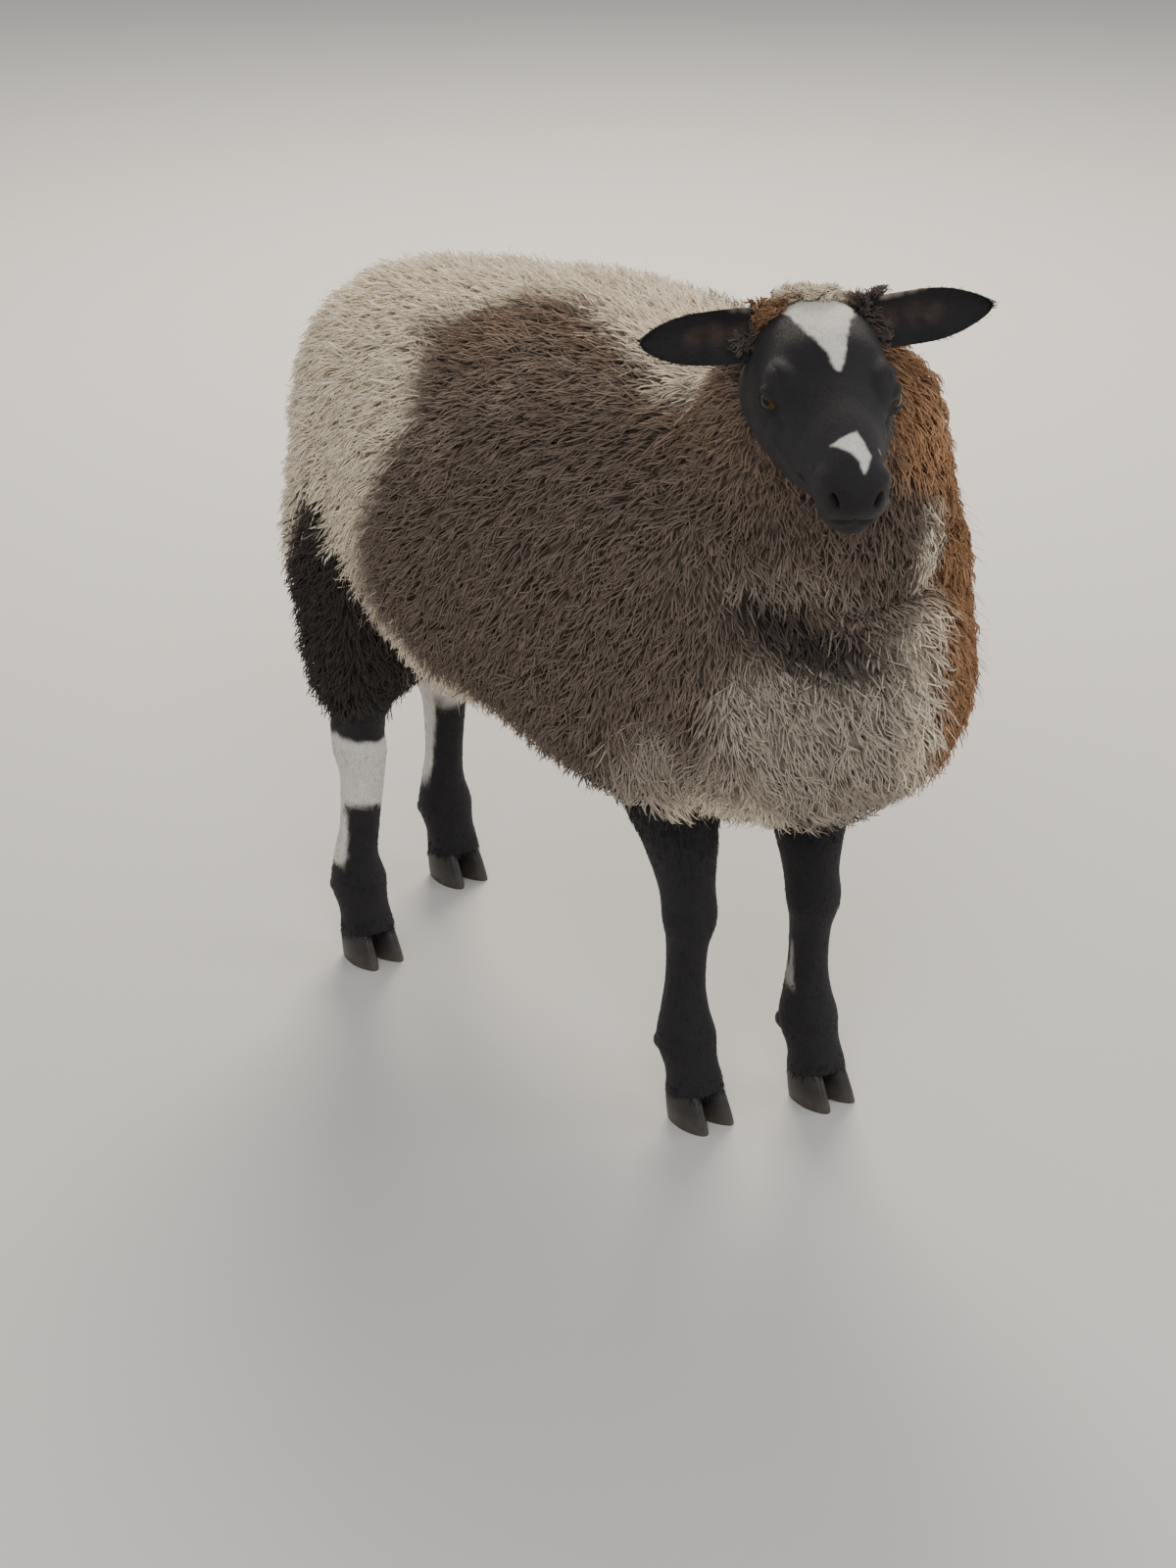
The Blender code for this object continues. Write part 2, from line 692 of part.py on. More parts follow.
def claw(end, side, which, name):
    """One claw of a hoof: flat-soled, sloping at the toe, and rounded outside."""
    hoof = HOOF_AT[end, side]
    shape = bmesh.new()
    sides = 12
    levels = ((0.0, 1.0, 1.0), (0.012, 0.99, 0.97), (0.026, 0.93, 0.90), (CORONET_HEIGHT - 0.003, 0.84, 0.80))
    loops = []
    turn = Matrix.Rotation(which * CLAW_SPLAY, 3, "Z")
    for z, wide, long in levels:
        loop = []
        for k in range(sides):
            a = math.tau * k / sides
            half = CLAW_HALF_WIDTH * wide
            x = math.copysign(abs(math.cos(a)) ** 0.75, math.cos(a)) * half
            y = -math.sin(a) * CLAW_LENGTH / 2 * long
            slope = 0.30 * z
            toe = 1.0 - 0.38 * max(0.0, math.sin(a)) ** 2
            offset = Vector((which * (CLAW_HALF_WIDTH + 0.0016) + x * toe, y + slope, 0))
            loop.append(shape.verts.new(hoof + turn @ offset + Vector((0, 0, z))))
        loops.append(loop)
    for one, two in zip(loops, loops[1:]):
        for k in range(sides):
            shape.faces.new((one[k], one[(k + 1) % sides], two[(k + 1) % sides], two[k]))
    shape.faces.new(loops[0])
    shape.faces.new(loops[-1])
    return finished(name, shape)


def dewclaw(end, side, which, name, grow=0.0):
    """One of the two small claws behind the fetlock."""
    hoof = HOOF_AT[end, side]
    place = hoof + Vector((which * 0.014, 0.0515, FETLOCK_HEIGHT - 0.014))
    size = Vector(DEWCLAW_RADII) + Vector((grow, grow, grow))
    turn = Matrix.Rotation(math.radians(-25), 3, "X")
    return ellipsoid(name, place, size, turn, segments=7, rings=5)


# Ears, tail and scrotum


def ear(side, name, grow=0.0):
    """A leaf-shaped, cupped ear, from its root inside the head out to its tip."""
    s = SIDES[side]
    steps, across = 10, 6
    shape = bmesh.new()
    root = Vector((s * 0.042, 0.004, EAR_ROOT_Z[side]))
    out = Vector((s * 0.96, -0.03, EAR_LIFT[side])).normalized()
    face = Vector((s * 0.10, -0.97, 0.18))
    face = (face - out * face.dot(out)).normalized()
    wide = out.cross(face)
    fronts, backs = [], []
    for i in range(steps + 1):
        t = i / steps
        half = EAR_HALF_WIDTH * max(0.03, math.sin(math.pi * (0.16 + 0.84 * t) ** 0.85) ** 0.62)
        cup = EAR_CUP * (1.0 - 0.55 * t)
        thick = EAR_THICK * (1.0 - 0.45 * t) / 2 + EAR_STALK * max(0.0, 1.0 - t / 0.42) ** 2
        far = out * (t * EAR_LENGTH + (2 * t - 1) * grow * 1.5)
        front, back = [], []
        for k in range(across + 1):
            u = (2 * k / across - 1) * (1 + 1.5 * grow / half)
            middle = root + far + wide * (u * half) + face * (cup * (u * u - 0.5))
            edge = thick * (math.sqrt(max(0.0, 1 - u**4)) * 0.75 + 0.25) + 1.5 * grow
            front.append(middle + face * edge)
            back.append(middle - face * edge)
        fronts.append([shape.verts.new(p) for p in front])
        backs.append([shape.verts.new(p) for p in back])
    for i in range(steps):
        for k in range(across):
            shape.faces.new((fronts[i][k], fronts[i][k + 1], fronts[i + 1][k + 1], fronts[i + 1][k]))
            shape.faces.new((backs[i][k], backs[i + 1][k], backs[i + 1][k + 1], backs[i][k + 1]))
        for k in (0, across):
            shape.faces.new((fronts[i][k], fronts[i + 1][k], backs[i + 1][k], backs[i][k]))
    for row in (0, steps):
        for k in range(across):
            shape.faces.new((fronts[row][k], fronts[row][k + 1], backs[row][k + 1], backs[row][k]))
    return placed(finished(name, shape), head_frame())


def tail(name, grow=0.0):
    """The woolly tail, hanging down the breech from its root in the rump."""
    low = TAIL_ROOT.z - TAIL_LENGTH
    form = Loft(
        [
            Station(TAIL_ROOT + Vector((0, -0.030, 0.022)), 0.020, 0.018),
            Station(TAIL_ROOT, 0.027, 0.024),
            Station((0, BREECH_Y - 0.002, TAIL_ROOT.z - 0.065), TAIL_HALF_WIDTH, 0.025),
            Station((0, BREECH_Y + 0.006, TAIL_ROOT.z - 0.140), TAIL_HALF_WIDTH + 0.002, 0.024),
            Station((0, BREECH_Y - 0.004, low + 0.040), TAIL_HALF_WIDTH - 0.004, 0.020),
            Station((0, BREECH_Y - 0.012, low), 0.012, 0.010),
        ],
        top=(0, 1, 0),
    )
    return form.mesh(name, 12, 10, grow)


def scrotum(name, grow=0.0):
    """The scrotum, hanging between the thighs."""
    size = Vector(SCROTUM_RADII) + Vector((grow, grow, grow))
    place = Vector((0, SCROTUM_Y, SCROTUM_LOW + SCROTUM_RADII[2]))
    return ellipsoid(name, place, size, segments=12, rings=9)


# Parting of the body into nodes


def box(low, high):
    """A box between two corners."""
    low, high = Vector(low), Vector(high)
    shape = bmesh.new()
    place = Matrix.Translation((low + high) / 2) @ Matrix.Diagonal((*(high - low), 1.0))
    bmesh.ops.create_cube(shape, size=1.0, matrix=place)
    return finished("box", shape)


def neck_region(gap=0.0):
    """Everything above the slanting cut between the neck and the trunk."""
    return half_space(NECK_CUT_POINT, NECK_CUT_NORMAL, -gap, size=1.0)


def below(level):
    """A wide box up to a level."""
    return box((-1, -1, -1), (1, 1, level))


def thigh_region(side, gap=0.0):
    """The space of one thigh below the flank."""
    s = SIDES[side]
    low = (min(0.0, s * 0.4), 0.12, 0.0)
    high = (max(0.0, s * 0.4), 0.60, THIGH_TOP + gap)
    return box(low, high)


def part_fleece(nodes):
    """Parts the fleece-covered body into neck, torso and thighs, with sockets for the head and legs."""
    whole = fleece_body()
    roots = [head_socket()] + [leg(end, side, "socket", 2 * GROW) for end, side in HOOF_AT]
    whole = keep_largest(combine(whole, roots, "DIFFERENCE"))
    nodes["neck"] = keep_largest(combine(copy_of(whole, "neck"), [neck_region()], "INTERSECT"))
    whole = combine(whole, [neck_region(GAP)], "DIFFERENCE")
    for side in SIDES:
        name = f"hindleg_{side}_thigh"
        nodes[name] = keep_largest(combine(copy_of(whole, name), [thigh_region(side)], "INTERSECT"))
    whole.name = "torso"
    spaces = [thigh_region(side, GAP) for side in SIDES]
    nodes["torso"] = keep_largest(combine(whole, spaces, "DIFFERENCE"))


def part_legs(nodes):
    """Shapes each leg whole, cuts it flat above the hoof, and parts it at the knee or hock."""
    for end, side in HOOF_AT:
        limb = combine(leg(end, side, "limb"), [below(CORONET_HEIGHT)], "DIFFERENCE")
        middle = LEG_MIDDLE[end]
        lower = combine(copy_of(limb, f"{end}leg_{side}_lower"), [below(middle)], "INTERSECT")
        nodes[lower.name] = keep_largest(lower)
        upper = combine(limb, [below(middle + GAP)], "DIFFERENCE")
        upper.name = f"{end}leg_{side}_upper"
        nodes[upper.name] = keep_largest(upper)


def finish(made, finish_material, smooth=False):
    """Gives a node its material and puts it in the model's collection."""
    made.data.materials.clear()
    made.data.materials.append(finish_material)
    for face in made.data.polygons:
        face.use_smooth = smooth


def centre(nodes):
    """Moves every node so that the origin is the middle of the whole model's base."""
    points = [vert.co for made in nodes for vert in made.data.vertices]
    low = [min(p[axis] for p in points) for axis in range(3)]
    high = [max(p[axis] for p in points) for axis in range(3)]
    shift = Vector((-(low[0] + high[0]) / 2, -(low[1] + high[1]) / 2, -low[2]))
    for made in nodes:
        made.data.transform(Matrix.Translation(shift))


def main():
    for old in list(bpy.data.objects):
        bpy.data.objects.remove(old)
    nodes = {"head": whole_head()}
    part_fleece(nodes)
    part_legs(nodes)
    for side in SIDES:
        nodes[f"eye_{side}"] = eyeball(side)
        nodes[f"ear_{side}"] = ear(side, f"ear_{side}")
    combine(nodes["torso"], [tail("socket", GROW), scrotum("socket", GROW)], "DIFFERENCE")
    keep_largest(nodes["torso"])
    nodes["tail"] = tail("tail")
    nodes["scrotum"] = scrotum("scrotum")
    for end, side in HOOF_AT:
        lower = nodes[f"{end}leg_{side}_lower"]
        for word, which in (("outer", SIDES[side]), ("inner", -SIDES[side])):
            nodes[f"claw_{end}_{side}_{word}"] = claw(end, side, which, f"claw_{end}_{side}_{word}")
            combine(lower, [dewclaw(end, side, which, "socket", GROW)], "DIFFERENCE")
            name = f"dewclaw_{end}_{side}_{word}"
            nodes[name] = dewclaw(end, side, which, name)
        keep_largest(lower)
    finishes = {
        "wool": material("cream_wool", (0.62, 0.55, 0.45), 0.95),
        "hair": material("black_hair", (0.035, 0.030, 0.032), 0.80),
        "horn": material("dark_horn", (0.060, 0.050, 0.045), 0.50),
        "eye": material("eye", (0.10, 0.055, 0.020), 0.10),
        "skin": material("scrotum_wool", (0.16, 0.12, 0.10), 0.90),
    }
    for name, made in nodes.items():
        kind = "hair"
        if name in ("torso", "neck", "tail") or name.endswith("thigh"):
            kind = "wool"
        elif "claw" in name:
            kind = "horn"
        elif name.startswith("eye"):
            kind = "eye"
        elif name == "scrotum":
            kind = "skin"
        finish(made, finishes[kind])
    centre(nodes.values())
    group("spotted_ram", nodes.values())


if __name__ == "__main__":
    main()
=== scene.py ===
"""Looks of a hornless spotted ram: skin, fleece, short hair, eyes and claws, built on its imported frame.

Metres, +Z up. The forms are described in the ram's own frame, where it faces -Y, its left side is +X
and x = 0 is its mid-plane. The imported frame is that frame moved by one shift, read from the eyes.
"""

from __future__ import annotations

import logging
import math
from dataclasses import dataclass, field
from enum import Enum
from typing import Iterable, Sequence

import bmesh
import bpy
import numpy as np
from bpy.types import Material, Mesh, Node, NodeSocket, NodeTree, Object
from mathutils import Matrix, Vector
from mathutils.bvhtree import BVHTree
from mathutils.kdtree import KDTree

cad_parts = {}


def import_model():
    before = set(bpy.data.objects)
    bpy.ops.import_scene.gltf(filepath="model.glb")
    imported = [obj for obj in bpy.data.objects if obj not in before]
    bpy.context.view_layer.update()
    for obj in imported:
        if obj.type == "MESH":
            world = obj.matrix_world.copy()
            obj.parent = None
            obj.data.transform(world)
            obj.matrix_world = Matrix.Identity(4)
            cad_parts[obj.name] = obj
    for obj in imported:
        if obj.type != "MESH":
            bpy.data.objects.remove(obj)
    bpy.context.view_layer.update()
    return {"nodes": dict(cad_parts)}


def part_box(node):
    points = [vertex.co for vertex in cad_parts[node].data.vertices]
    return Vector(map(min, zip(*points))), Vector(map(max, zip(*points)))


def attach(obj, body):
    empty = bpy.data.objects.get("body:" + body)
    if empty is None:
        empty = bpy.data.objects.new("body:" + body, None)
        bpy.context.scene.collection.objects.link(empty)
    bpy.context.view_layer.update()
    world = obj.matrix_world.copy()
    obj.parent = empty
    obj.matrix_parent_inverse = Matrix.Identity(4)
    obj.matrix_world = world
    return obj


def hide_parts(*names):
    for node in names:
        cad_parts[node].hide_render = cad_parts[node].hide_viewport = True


LOG = logging.getLogger("ram")
BODY = "root"

Array = np.ndarray
Place = Sequence[float]
MM = 1000


class Side(Enum):
    """A side of the ram, with the sign of x there."""

    LEFT = 1
    RIGHT = -1

    @property
    def word(self) -> str:
        """The side's name in the nodes."""
        return self.name.lower()


class End(Enum):
    """The fore or hind pair of legs."""

    FORE = "fore"
    HIND = "hind"


class Coat(Enum):
    """A kind of covering, with what its tufts are made like."""

    UNDERCOAT = "undercoat"
    FLEECE = "fleece"
    CHEST = "chest"
    CURLY = "curly"
    TOPKNOT = "topknot"
    FUZZ = "fuzz"
    HAIR = "hair"
    LEG_HAIR = "leg hair"


# Helpers for arrays of points


def unit(vectors: Array) -> Array:
    """The vectors at length 1."""
    return vectors / np.maximum(np.linalg.norm(vectors, axis=-1, keepdims=True), 1e-12)


def ramp(values: Array, low: float, high: float) -> Array:
    """0 below low, 1 above high, and a smooth step between them."""
    share = np.clip((values - low) / (high - low), 0.0, 1.0)
    return share * share * (3.0 - 2.0 * share)


def mix(one: Array, two: Array, share: Array) -> Array:
    """One where the share is 0 and two where it is 1."""
    return one + (two - one) * share


def along_skin(wish: Array, normals: Array) -> Array:
    """The wished directions laid flat on the skin."""
    return unit(wish - normals * (wish * normals).sum(axis=1, keepdims=True))


class Noise:
    """Smooth seeded noise over space, the same on the skin and on the coat."""

    SIZE = 32

    def __init__(self, seed: int) -> None:
        """Fills the lattice.

        Args:
            seed: the number that fixes the draw.
        """
        self.table = np.random.default_rng(seed).uniform(-1.0, 1.0, (self.SIZE,) * 3)

    def at(self, points: Array, scale: float) -> Array:
        """Noise from -1 to 1.

        Args:
            points: places, as rows.
            scale: the size of one lump, in metres.

        Returns:
            One value for each row.
        """
        cell = points / scale
        low = np.floor(cell).astype(int)
        share = cell - low
        share = share * share * (3.0 - 2.0 * share)
        found = np.zeros(len(points))
        for corner in range(8):
            step = np.array([(corner >> k) & 1 for k in range(3)])
            weight = np.prod(np.where(step, share, 1.0 - share), axis=1)
            i, j, k = ((low + step) % self.SIZE).T
            found += weight * self.table[i, j, k]
        return found

    def layered(self, points: Array, scale: float, layers: int = 3) -> Array:
        """Noise at a scale with finer, fainter layers on it."""
        total = sum(self.at(points + 7.3 * k, scale / 2**k) / 2**k for k in range(layers))
        return total / 1.5


# Smooth forms through cross-sections


@dataclass
class Station:
    """One cross-section of a form: its centre and its reach to the side, up and down."""

    centre: Place
    side: float
    up: float
    down: float | None = None
    square: float = 2.0

    def row(self) -> list[float]:
        """The numbers that are blended along the form."""
        return [*self.centre, self.side, self.up, self.up if self.down is None else self.down, self.square]


class Loft:
    """A closed form with a smooth skin through its stations."""

    def __init__(self, stations: Iterable[Station], top: Place = (0, 0, 1), shrink: float = 0.0) -> None:
        """Lays the stations out.

        Args:
            stations: the cross-sections, in order.
            top: the direction that counts as up in a cross-section.
            shrink: how far the skin lies inside the stations.
        """
        self.rows = np.array([s.row() for s in stations], float)
        self.rows[:, 3:6] = np.maximum(self.rows[:, 3:6] - shrink, 0.002)
        self.top = unit(np.array(top, float))

    def blended(self, t: Array) -> Array:
        """The cross-section's numbers at each t from 0 to 1, on a smooth curve through the stations.

        Args:
            t: places along the form, from 0 to 1.

        Returns:
            One row of numbers for each place.
        """
        last = len(self.rows) - 1
        place = np.clip(t, 0.0, 1.0) * last
        i = np.minimum(place.astype(int), last - 1)
        f = (place - i)[:, None]
        a, b, c, d = (self.rows[np.clip(i + k, 0, last)] for k in (-1, 0, 1, 2))
        bend, twist = 2 * a - 5 * b + 4 * c - d, 3 * b - a - 3 * c + d
        return 0.5 * (2 * b + (c - a) * f + bend * f**2 + twist * f**3)

    def frames(self, t: Array) -> tuple[Array, Array, Array, Array]:
        """The cross-sections at each t, with their side, top and forward directions.

        Args:
            t: places along the form, from 0 to 1.

        Returns:
            The rows of numbers, and the three directions at each.
        """
        along = unit(self.blended(t + 0.01)[:, :3] - self.blended(t - 0.01)[:, :3])
        side = unit(np.cross(along, self.top))
        return self.blended(t), side, unit(np.cross(side, along)), along

    def points(self, t: Array, angle: Array, grow: float = 0.0) -> Array:
        """Places on the skin at each t and angle from the side towards the top.

        Args:
            t: places along the form, from 0 to 1.
            angle: the angle of each round the form.
            grow: how far off the skin they lie.

        Returns:
            The places.
        """
        row, side, top, _ = self.frames(t)
        c, s = np.cos(angle), np.sin(angle)
        power = 2.0 / row[:, 6]
        reach = np.where(s >= 0, row[:, 4], row[:, 5])
        across = np.sign(c) * np.abs(c) ** power * (row[:, 3] + grow)
        height = np.sign(s) * np.abs(s) ** power * (reach + grow)
        return row[:, :3] + side * across[:, None] + top * height[:, None]

    def mesh(self, name: str, rings: int, sides: int, grow: float = 0.0) -> Object:
        """The form as an object with rounded ends.

        Args:
            name: the object's name.
            rings: how many rings it has.
            sides: how many points a ring has.
            grow: how much larger it is made.

        Returns:
            The object.
        """
        t = np.repeat(np.linspace(0.0, 1.0, rings), sides)
        angle = np.tile(np.arange(sides) * math.tau / sides, rings)
        points = self.points(t, angle, grow)
        row, _, _, along = self.frames(np.array([0.0, 1.0]))
        bulge = 0.3 * row[:, 3:6].min(axis=1) + grow
        poles = row[:, :3] + along * (bulge * np.array([-1.0, 1.0]))[:, None]
        return capped(name, points, poles, sides)


# Making and joining meshes


def add_object(name: str, data: bpy.types.ID) -> Object:
    """A new object with the given data, in the scene.

    Args:
        name: the object's name.
        data: its mesh, camera or light.

    Returns:
        The object.
    """
    made = bpy.data.objects.new(name, data)
    bpy.context.scene.collection.objects.link(made)
    return made


def ring_faces(rings: int, sides: int, closed: bool = False) -> list[tuple[int, ...]]:
    """Faces between rings of points, and from the last ring to the first where closed.

    Args:
        rings: how many rings there are.
        sides: how many points a ring has.
        closed: whether the rings close to a loop.

    Returns:
        The faces, as rows of points.
    """
    faces = []
    for i in range(rings if closed else rings - 1):
        j = (i + 1) % rings
        for k in range(sides):
            n = (k + 1) % sides
            faces.append((i * sides + k, i * sides + n, j * sides + n, j * sides + k))
    return faces


def solid(name: str, points: Array, faces: Sequence[Sequence[int]]) -> Object:
    """An object from points and faces, with its faces turned out.

    Args:
        name: the object's name.
        points: its points, as rows.
        faces: the points of each face.

    Returns:
        The object.
    """
    data = bpy.data.meshes.new(name)
    data.from_pydata([tuple(p) for p in points], [], faces)
    shape = bmesh.new()
    shape.from_mesh(data)
    bmesh.ops.recalc_face_normals(shape, faces=shape.faces)
    shape.to_mesh(data)
    shape.free()
    return add_object(name, data)


def capped(name: str, rows: Array, poles: Array, sides: int) -> Object:
    """A closed form of rings of points, with a pole past the first and the last ring.

    Args:
        name: the object's name.
        rows: the rings' points, one ring after the other.
        poles: the two poles.
        sides: how many points a ring has.

    Returns:
        The object.
    """
    faces = ring_faces(len(rows) // sides, sides)
    last = len(rows) - sides
    for k in range(sides):
        n = (k + 1) % sides
        faces.append((n, k, len(rows)))
        faces.append((last + k, last + n, len(rows) + 1))
    return solid(name, np.vstack([rows, poles]), faces)


def ball(name: str, centre: Place, radii: Place, turn: Matrix | None = None, segments: int = 32,
         rings: int = 20) -> Object:
    """A turned ellipsoid.

    Args:
        name: the object's name.
        centre: its middle.
        radii: its reach along its own three axes.
        turn: how it is turned.
        segments: its points round a ring.
        rings: its steps from pole to pole.

    Returns:
        The object.
    """
    down = np.repeat(np.arange(1, rings) * math.pi / rings, segments)
    around = np.tile(np.arange(segments) * math.tau / segments, rings - 1)
    rows = np.stack([np.sin(down) * np.cos(around), np.sin(down) * np.sin(around), np.cos(down)], axis=1)
    made = capped(name, rows, np.array([(0, 0, 1), (0, 0, -1)]), segments)
    turned = Matrix.Translation(Vector(centre)) @ (turn or Matrix.Identity(3)).to_4x4()
    made.data.transform(turned @ Matrix.Diagonal((*radii, 1.0)))
    return made


def settle(made: Object) -> Object:
    """Replaces the object's mesh with what its modifiers make of it.

    Args:
        made: the object.

    Returns:
        The same object.
    """
    graph = bpy.context.evaluated_depsgraph_get()
    data = bpy.data.meshes.new_from_object(made.evaluated_get(graph))
    made.modifiers.clear()
    made.data = data
    return made


def combine(base: Object, pieces: Sequence[Object], operation: str = "UNION") -> Object:
    """Joins the pieces to the base, or cuts them from it, and removes them.

    Args:
        base: the object that is changed.
        pieces: what is joined to it or cut from it.
        operation: Blender's word for the change.

    Returns:
        The base.
    """
    tools = bpy.data.collections.new("tools")
    bpy.context.scene.collection.children.link(tools)
    for piece in pieces:
        tools.objects.link(piece)
    change = base.modifiers.new("combine", "BOOLEAN")
    change.operation = operation
    change.operand_type = "COLLECTION"
    change.collection = tools
    change.solver = "MANIFOLD"
    settle(base)
    for piece in pieces:
        bpy.data.objects.remove(piece)
    bpy.data.collections.remove(tools)
    return base


def even_out(made: Object, voxel: float, rounds: int) -> Object:
    """Remeshes an object evenly and smooths its creases.

    Args:
        made: a closed object.
        voxel: the size of the new faces.
        rounds: how many times each point moves towards its neighbours.

    Returns:
        The same object.
    """
    remesh = made.modifiers.new("remesh", "REMESH")
    remesh.mode = "VOXEL"
    remesh.voxel_size = voxel
    if rounds:
        smooth = made.modifiers.new("smooth", "SMOOTH")
        smooth.factor = 0.5
        smooth.iterations = rounds
    return settle(made)


def read_points(made: Object) -> tuple[Array, Array]:
    """The object's points and their normals.

    Args:
        made: the object.

    Returns:
        Its points and normals, as rows.
    """
    data = made.data
    points = np.empty(len(data.vertices) * 3, np.float32)
    normals = np.empty(len(data.vertices) * 3, np.float32)
    data.vertices.foreach_get("co", points)
    data.vertex_normals.foreach_get("vector", normals)
    return points.reshape(-1, 3).astype(float), normals.reshape(-1, 3).astype(float)


def write_points(made: Object, points: Array) -> None:
    """Moves the object's points."""
    made.data.vertices.foreach_set("co", points.astype(np.float32).ravel())
    made.data.update()


def write_attribute(data: Mesh, name: str, kind: str, values: Array) -> None:
    """Writes a colour, vector or number for each point of a mesh.

    Args:
        data: the mesh.
        name: the attribute's name.
        kind: Blender's word for its type.
        values: its values, in the order of the points.
    """
    home = data.color_attributes if kind == "FLOAT_COLOR" else data.attributes
    word = {"FLOAT_COLOR": "color", "FLOAT_VECTOR": "vector", "FLOAT": "value"}[kind]
    home.new(name, kind, "POINT").data.foreach_set(word, values.astype(np.float32).ravel())


def tree_of(made: Object) -> BVHTree:
    """A search tree of an object's faces.

    Args:
        made: the object.

    Returns:
        The tree.
    """
    shape = bmesh.new()
    shape.from_mesh(made.data)
    tree = BVHTree.FromBMesh(shape)
    shape.free()
    return tree


def depth_in(tree: BVHTree, point: Array) -> float:
    """How far a point lies inside a closed form, or below 0 outside it.

    Args:
        tree: the form's faces.
        point: the place.

    Returns:
        The depth in metres.
    """
    start = Vector(point)
    near, normal, _, distance = tree.find_nearest(start)
    if (start - near).dot(normal) >= 0:
        return -distance
    way, crossed = Vector((0.12, 0.21, 0.97)), 0
    hit = tree.ray_cast(start, way)[0]
    while hit:
        crossed += 1
        hit = tree.ray_cast(hit + way * 1e-5, way)[0]
    return distance if crossed % 2 else -distance


class Sculptor:
    """Moves the points of one mesh with soft round brushes, in a frame of its own."""

    def __init__(self, made: Object) -> None:
        """Reads the mesh.

        Args:
            made: the object to shape.
        """
        self.made = made
        self.points, self.normals = read_points(made)

    def push(self, centre: Place, radius: float, amount: float, mirrored: bool = True) -> None:
        """Raises the skin along its normals round a place, or dents it where the amount is below 0."""
        for sign in (1, -1) if mirrored else (1,):
            place = np.array(centre, float) * (sign, 1, 1)
            far = np.linalg.norm(self.points - place, axis=1) / radius
            self.points += self.normals * (amount * np.exp(-far * far))[:, None]

    def stroke(self, path: Sequence[Place], width: float, amount: float, mirrored: bool = True) -> None:
        """Raises or dents the skin along a line, which fades out at its ends where it is mirrored."""
        for sign in (1, -1) if mirrored else (1,):
            places = np.array(path, float) * (sign, 1, 1)
            best = np.zeros(len(self.points))
            legs = len(places) - 1
            for k in range(legs):
                start, way = places[k], places[k + 1] - places[k]
                share = np.clip((self.points - start) @ way / (way @ way), 0.0, 1.0)
                far = np.linalg.norm(self.points - start - share[:, None] * way, axis=1) / width
                whole = (k + share) / legs
                fade = ramp(np.minimum(whole, 1.0 - whole) if mirrored else np.ones_like(whole), -0.12, 0.22)
                best = np.maximum(best, np.exp(-far * far) * fade)
            self.points += self.normals * (amount * best)[:, None]

    def done(self) -> Object:
        """Writes the points back."""
        write_points(self.made, self.points)
        return self.made


# The ram's build, repeated from its solids


def at(x: float, y: float, z: float) -> Vector:
    """A place as the default of a field."""
    return field(default_factory=lambda: Vector((x, y, z)))


def pair(left: float, right: float) -> dict[Side, float]:
    """A size for each side as the default of a field."""
    return field(default_factory=lambda: {Side.LEFT: left, Side.RIGHT: right})


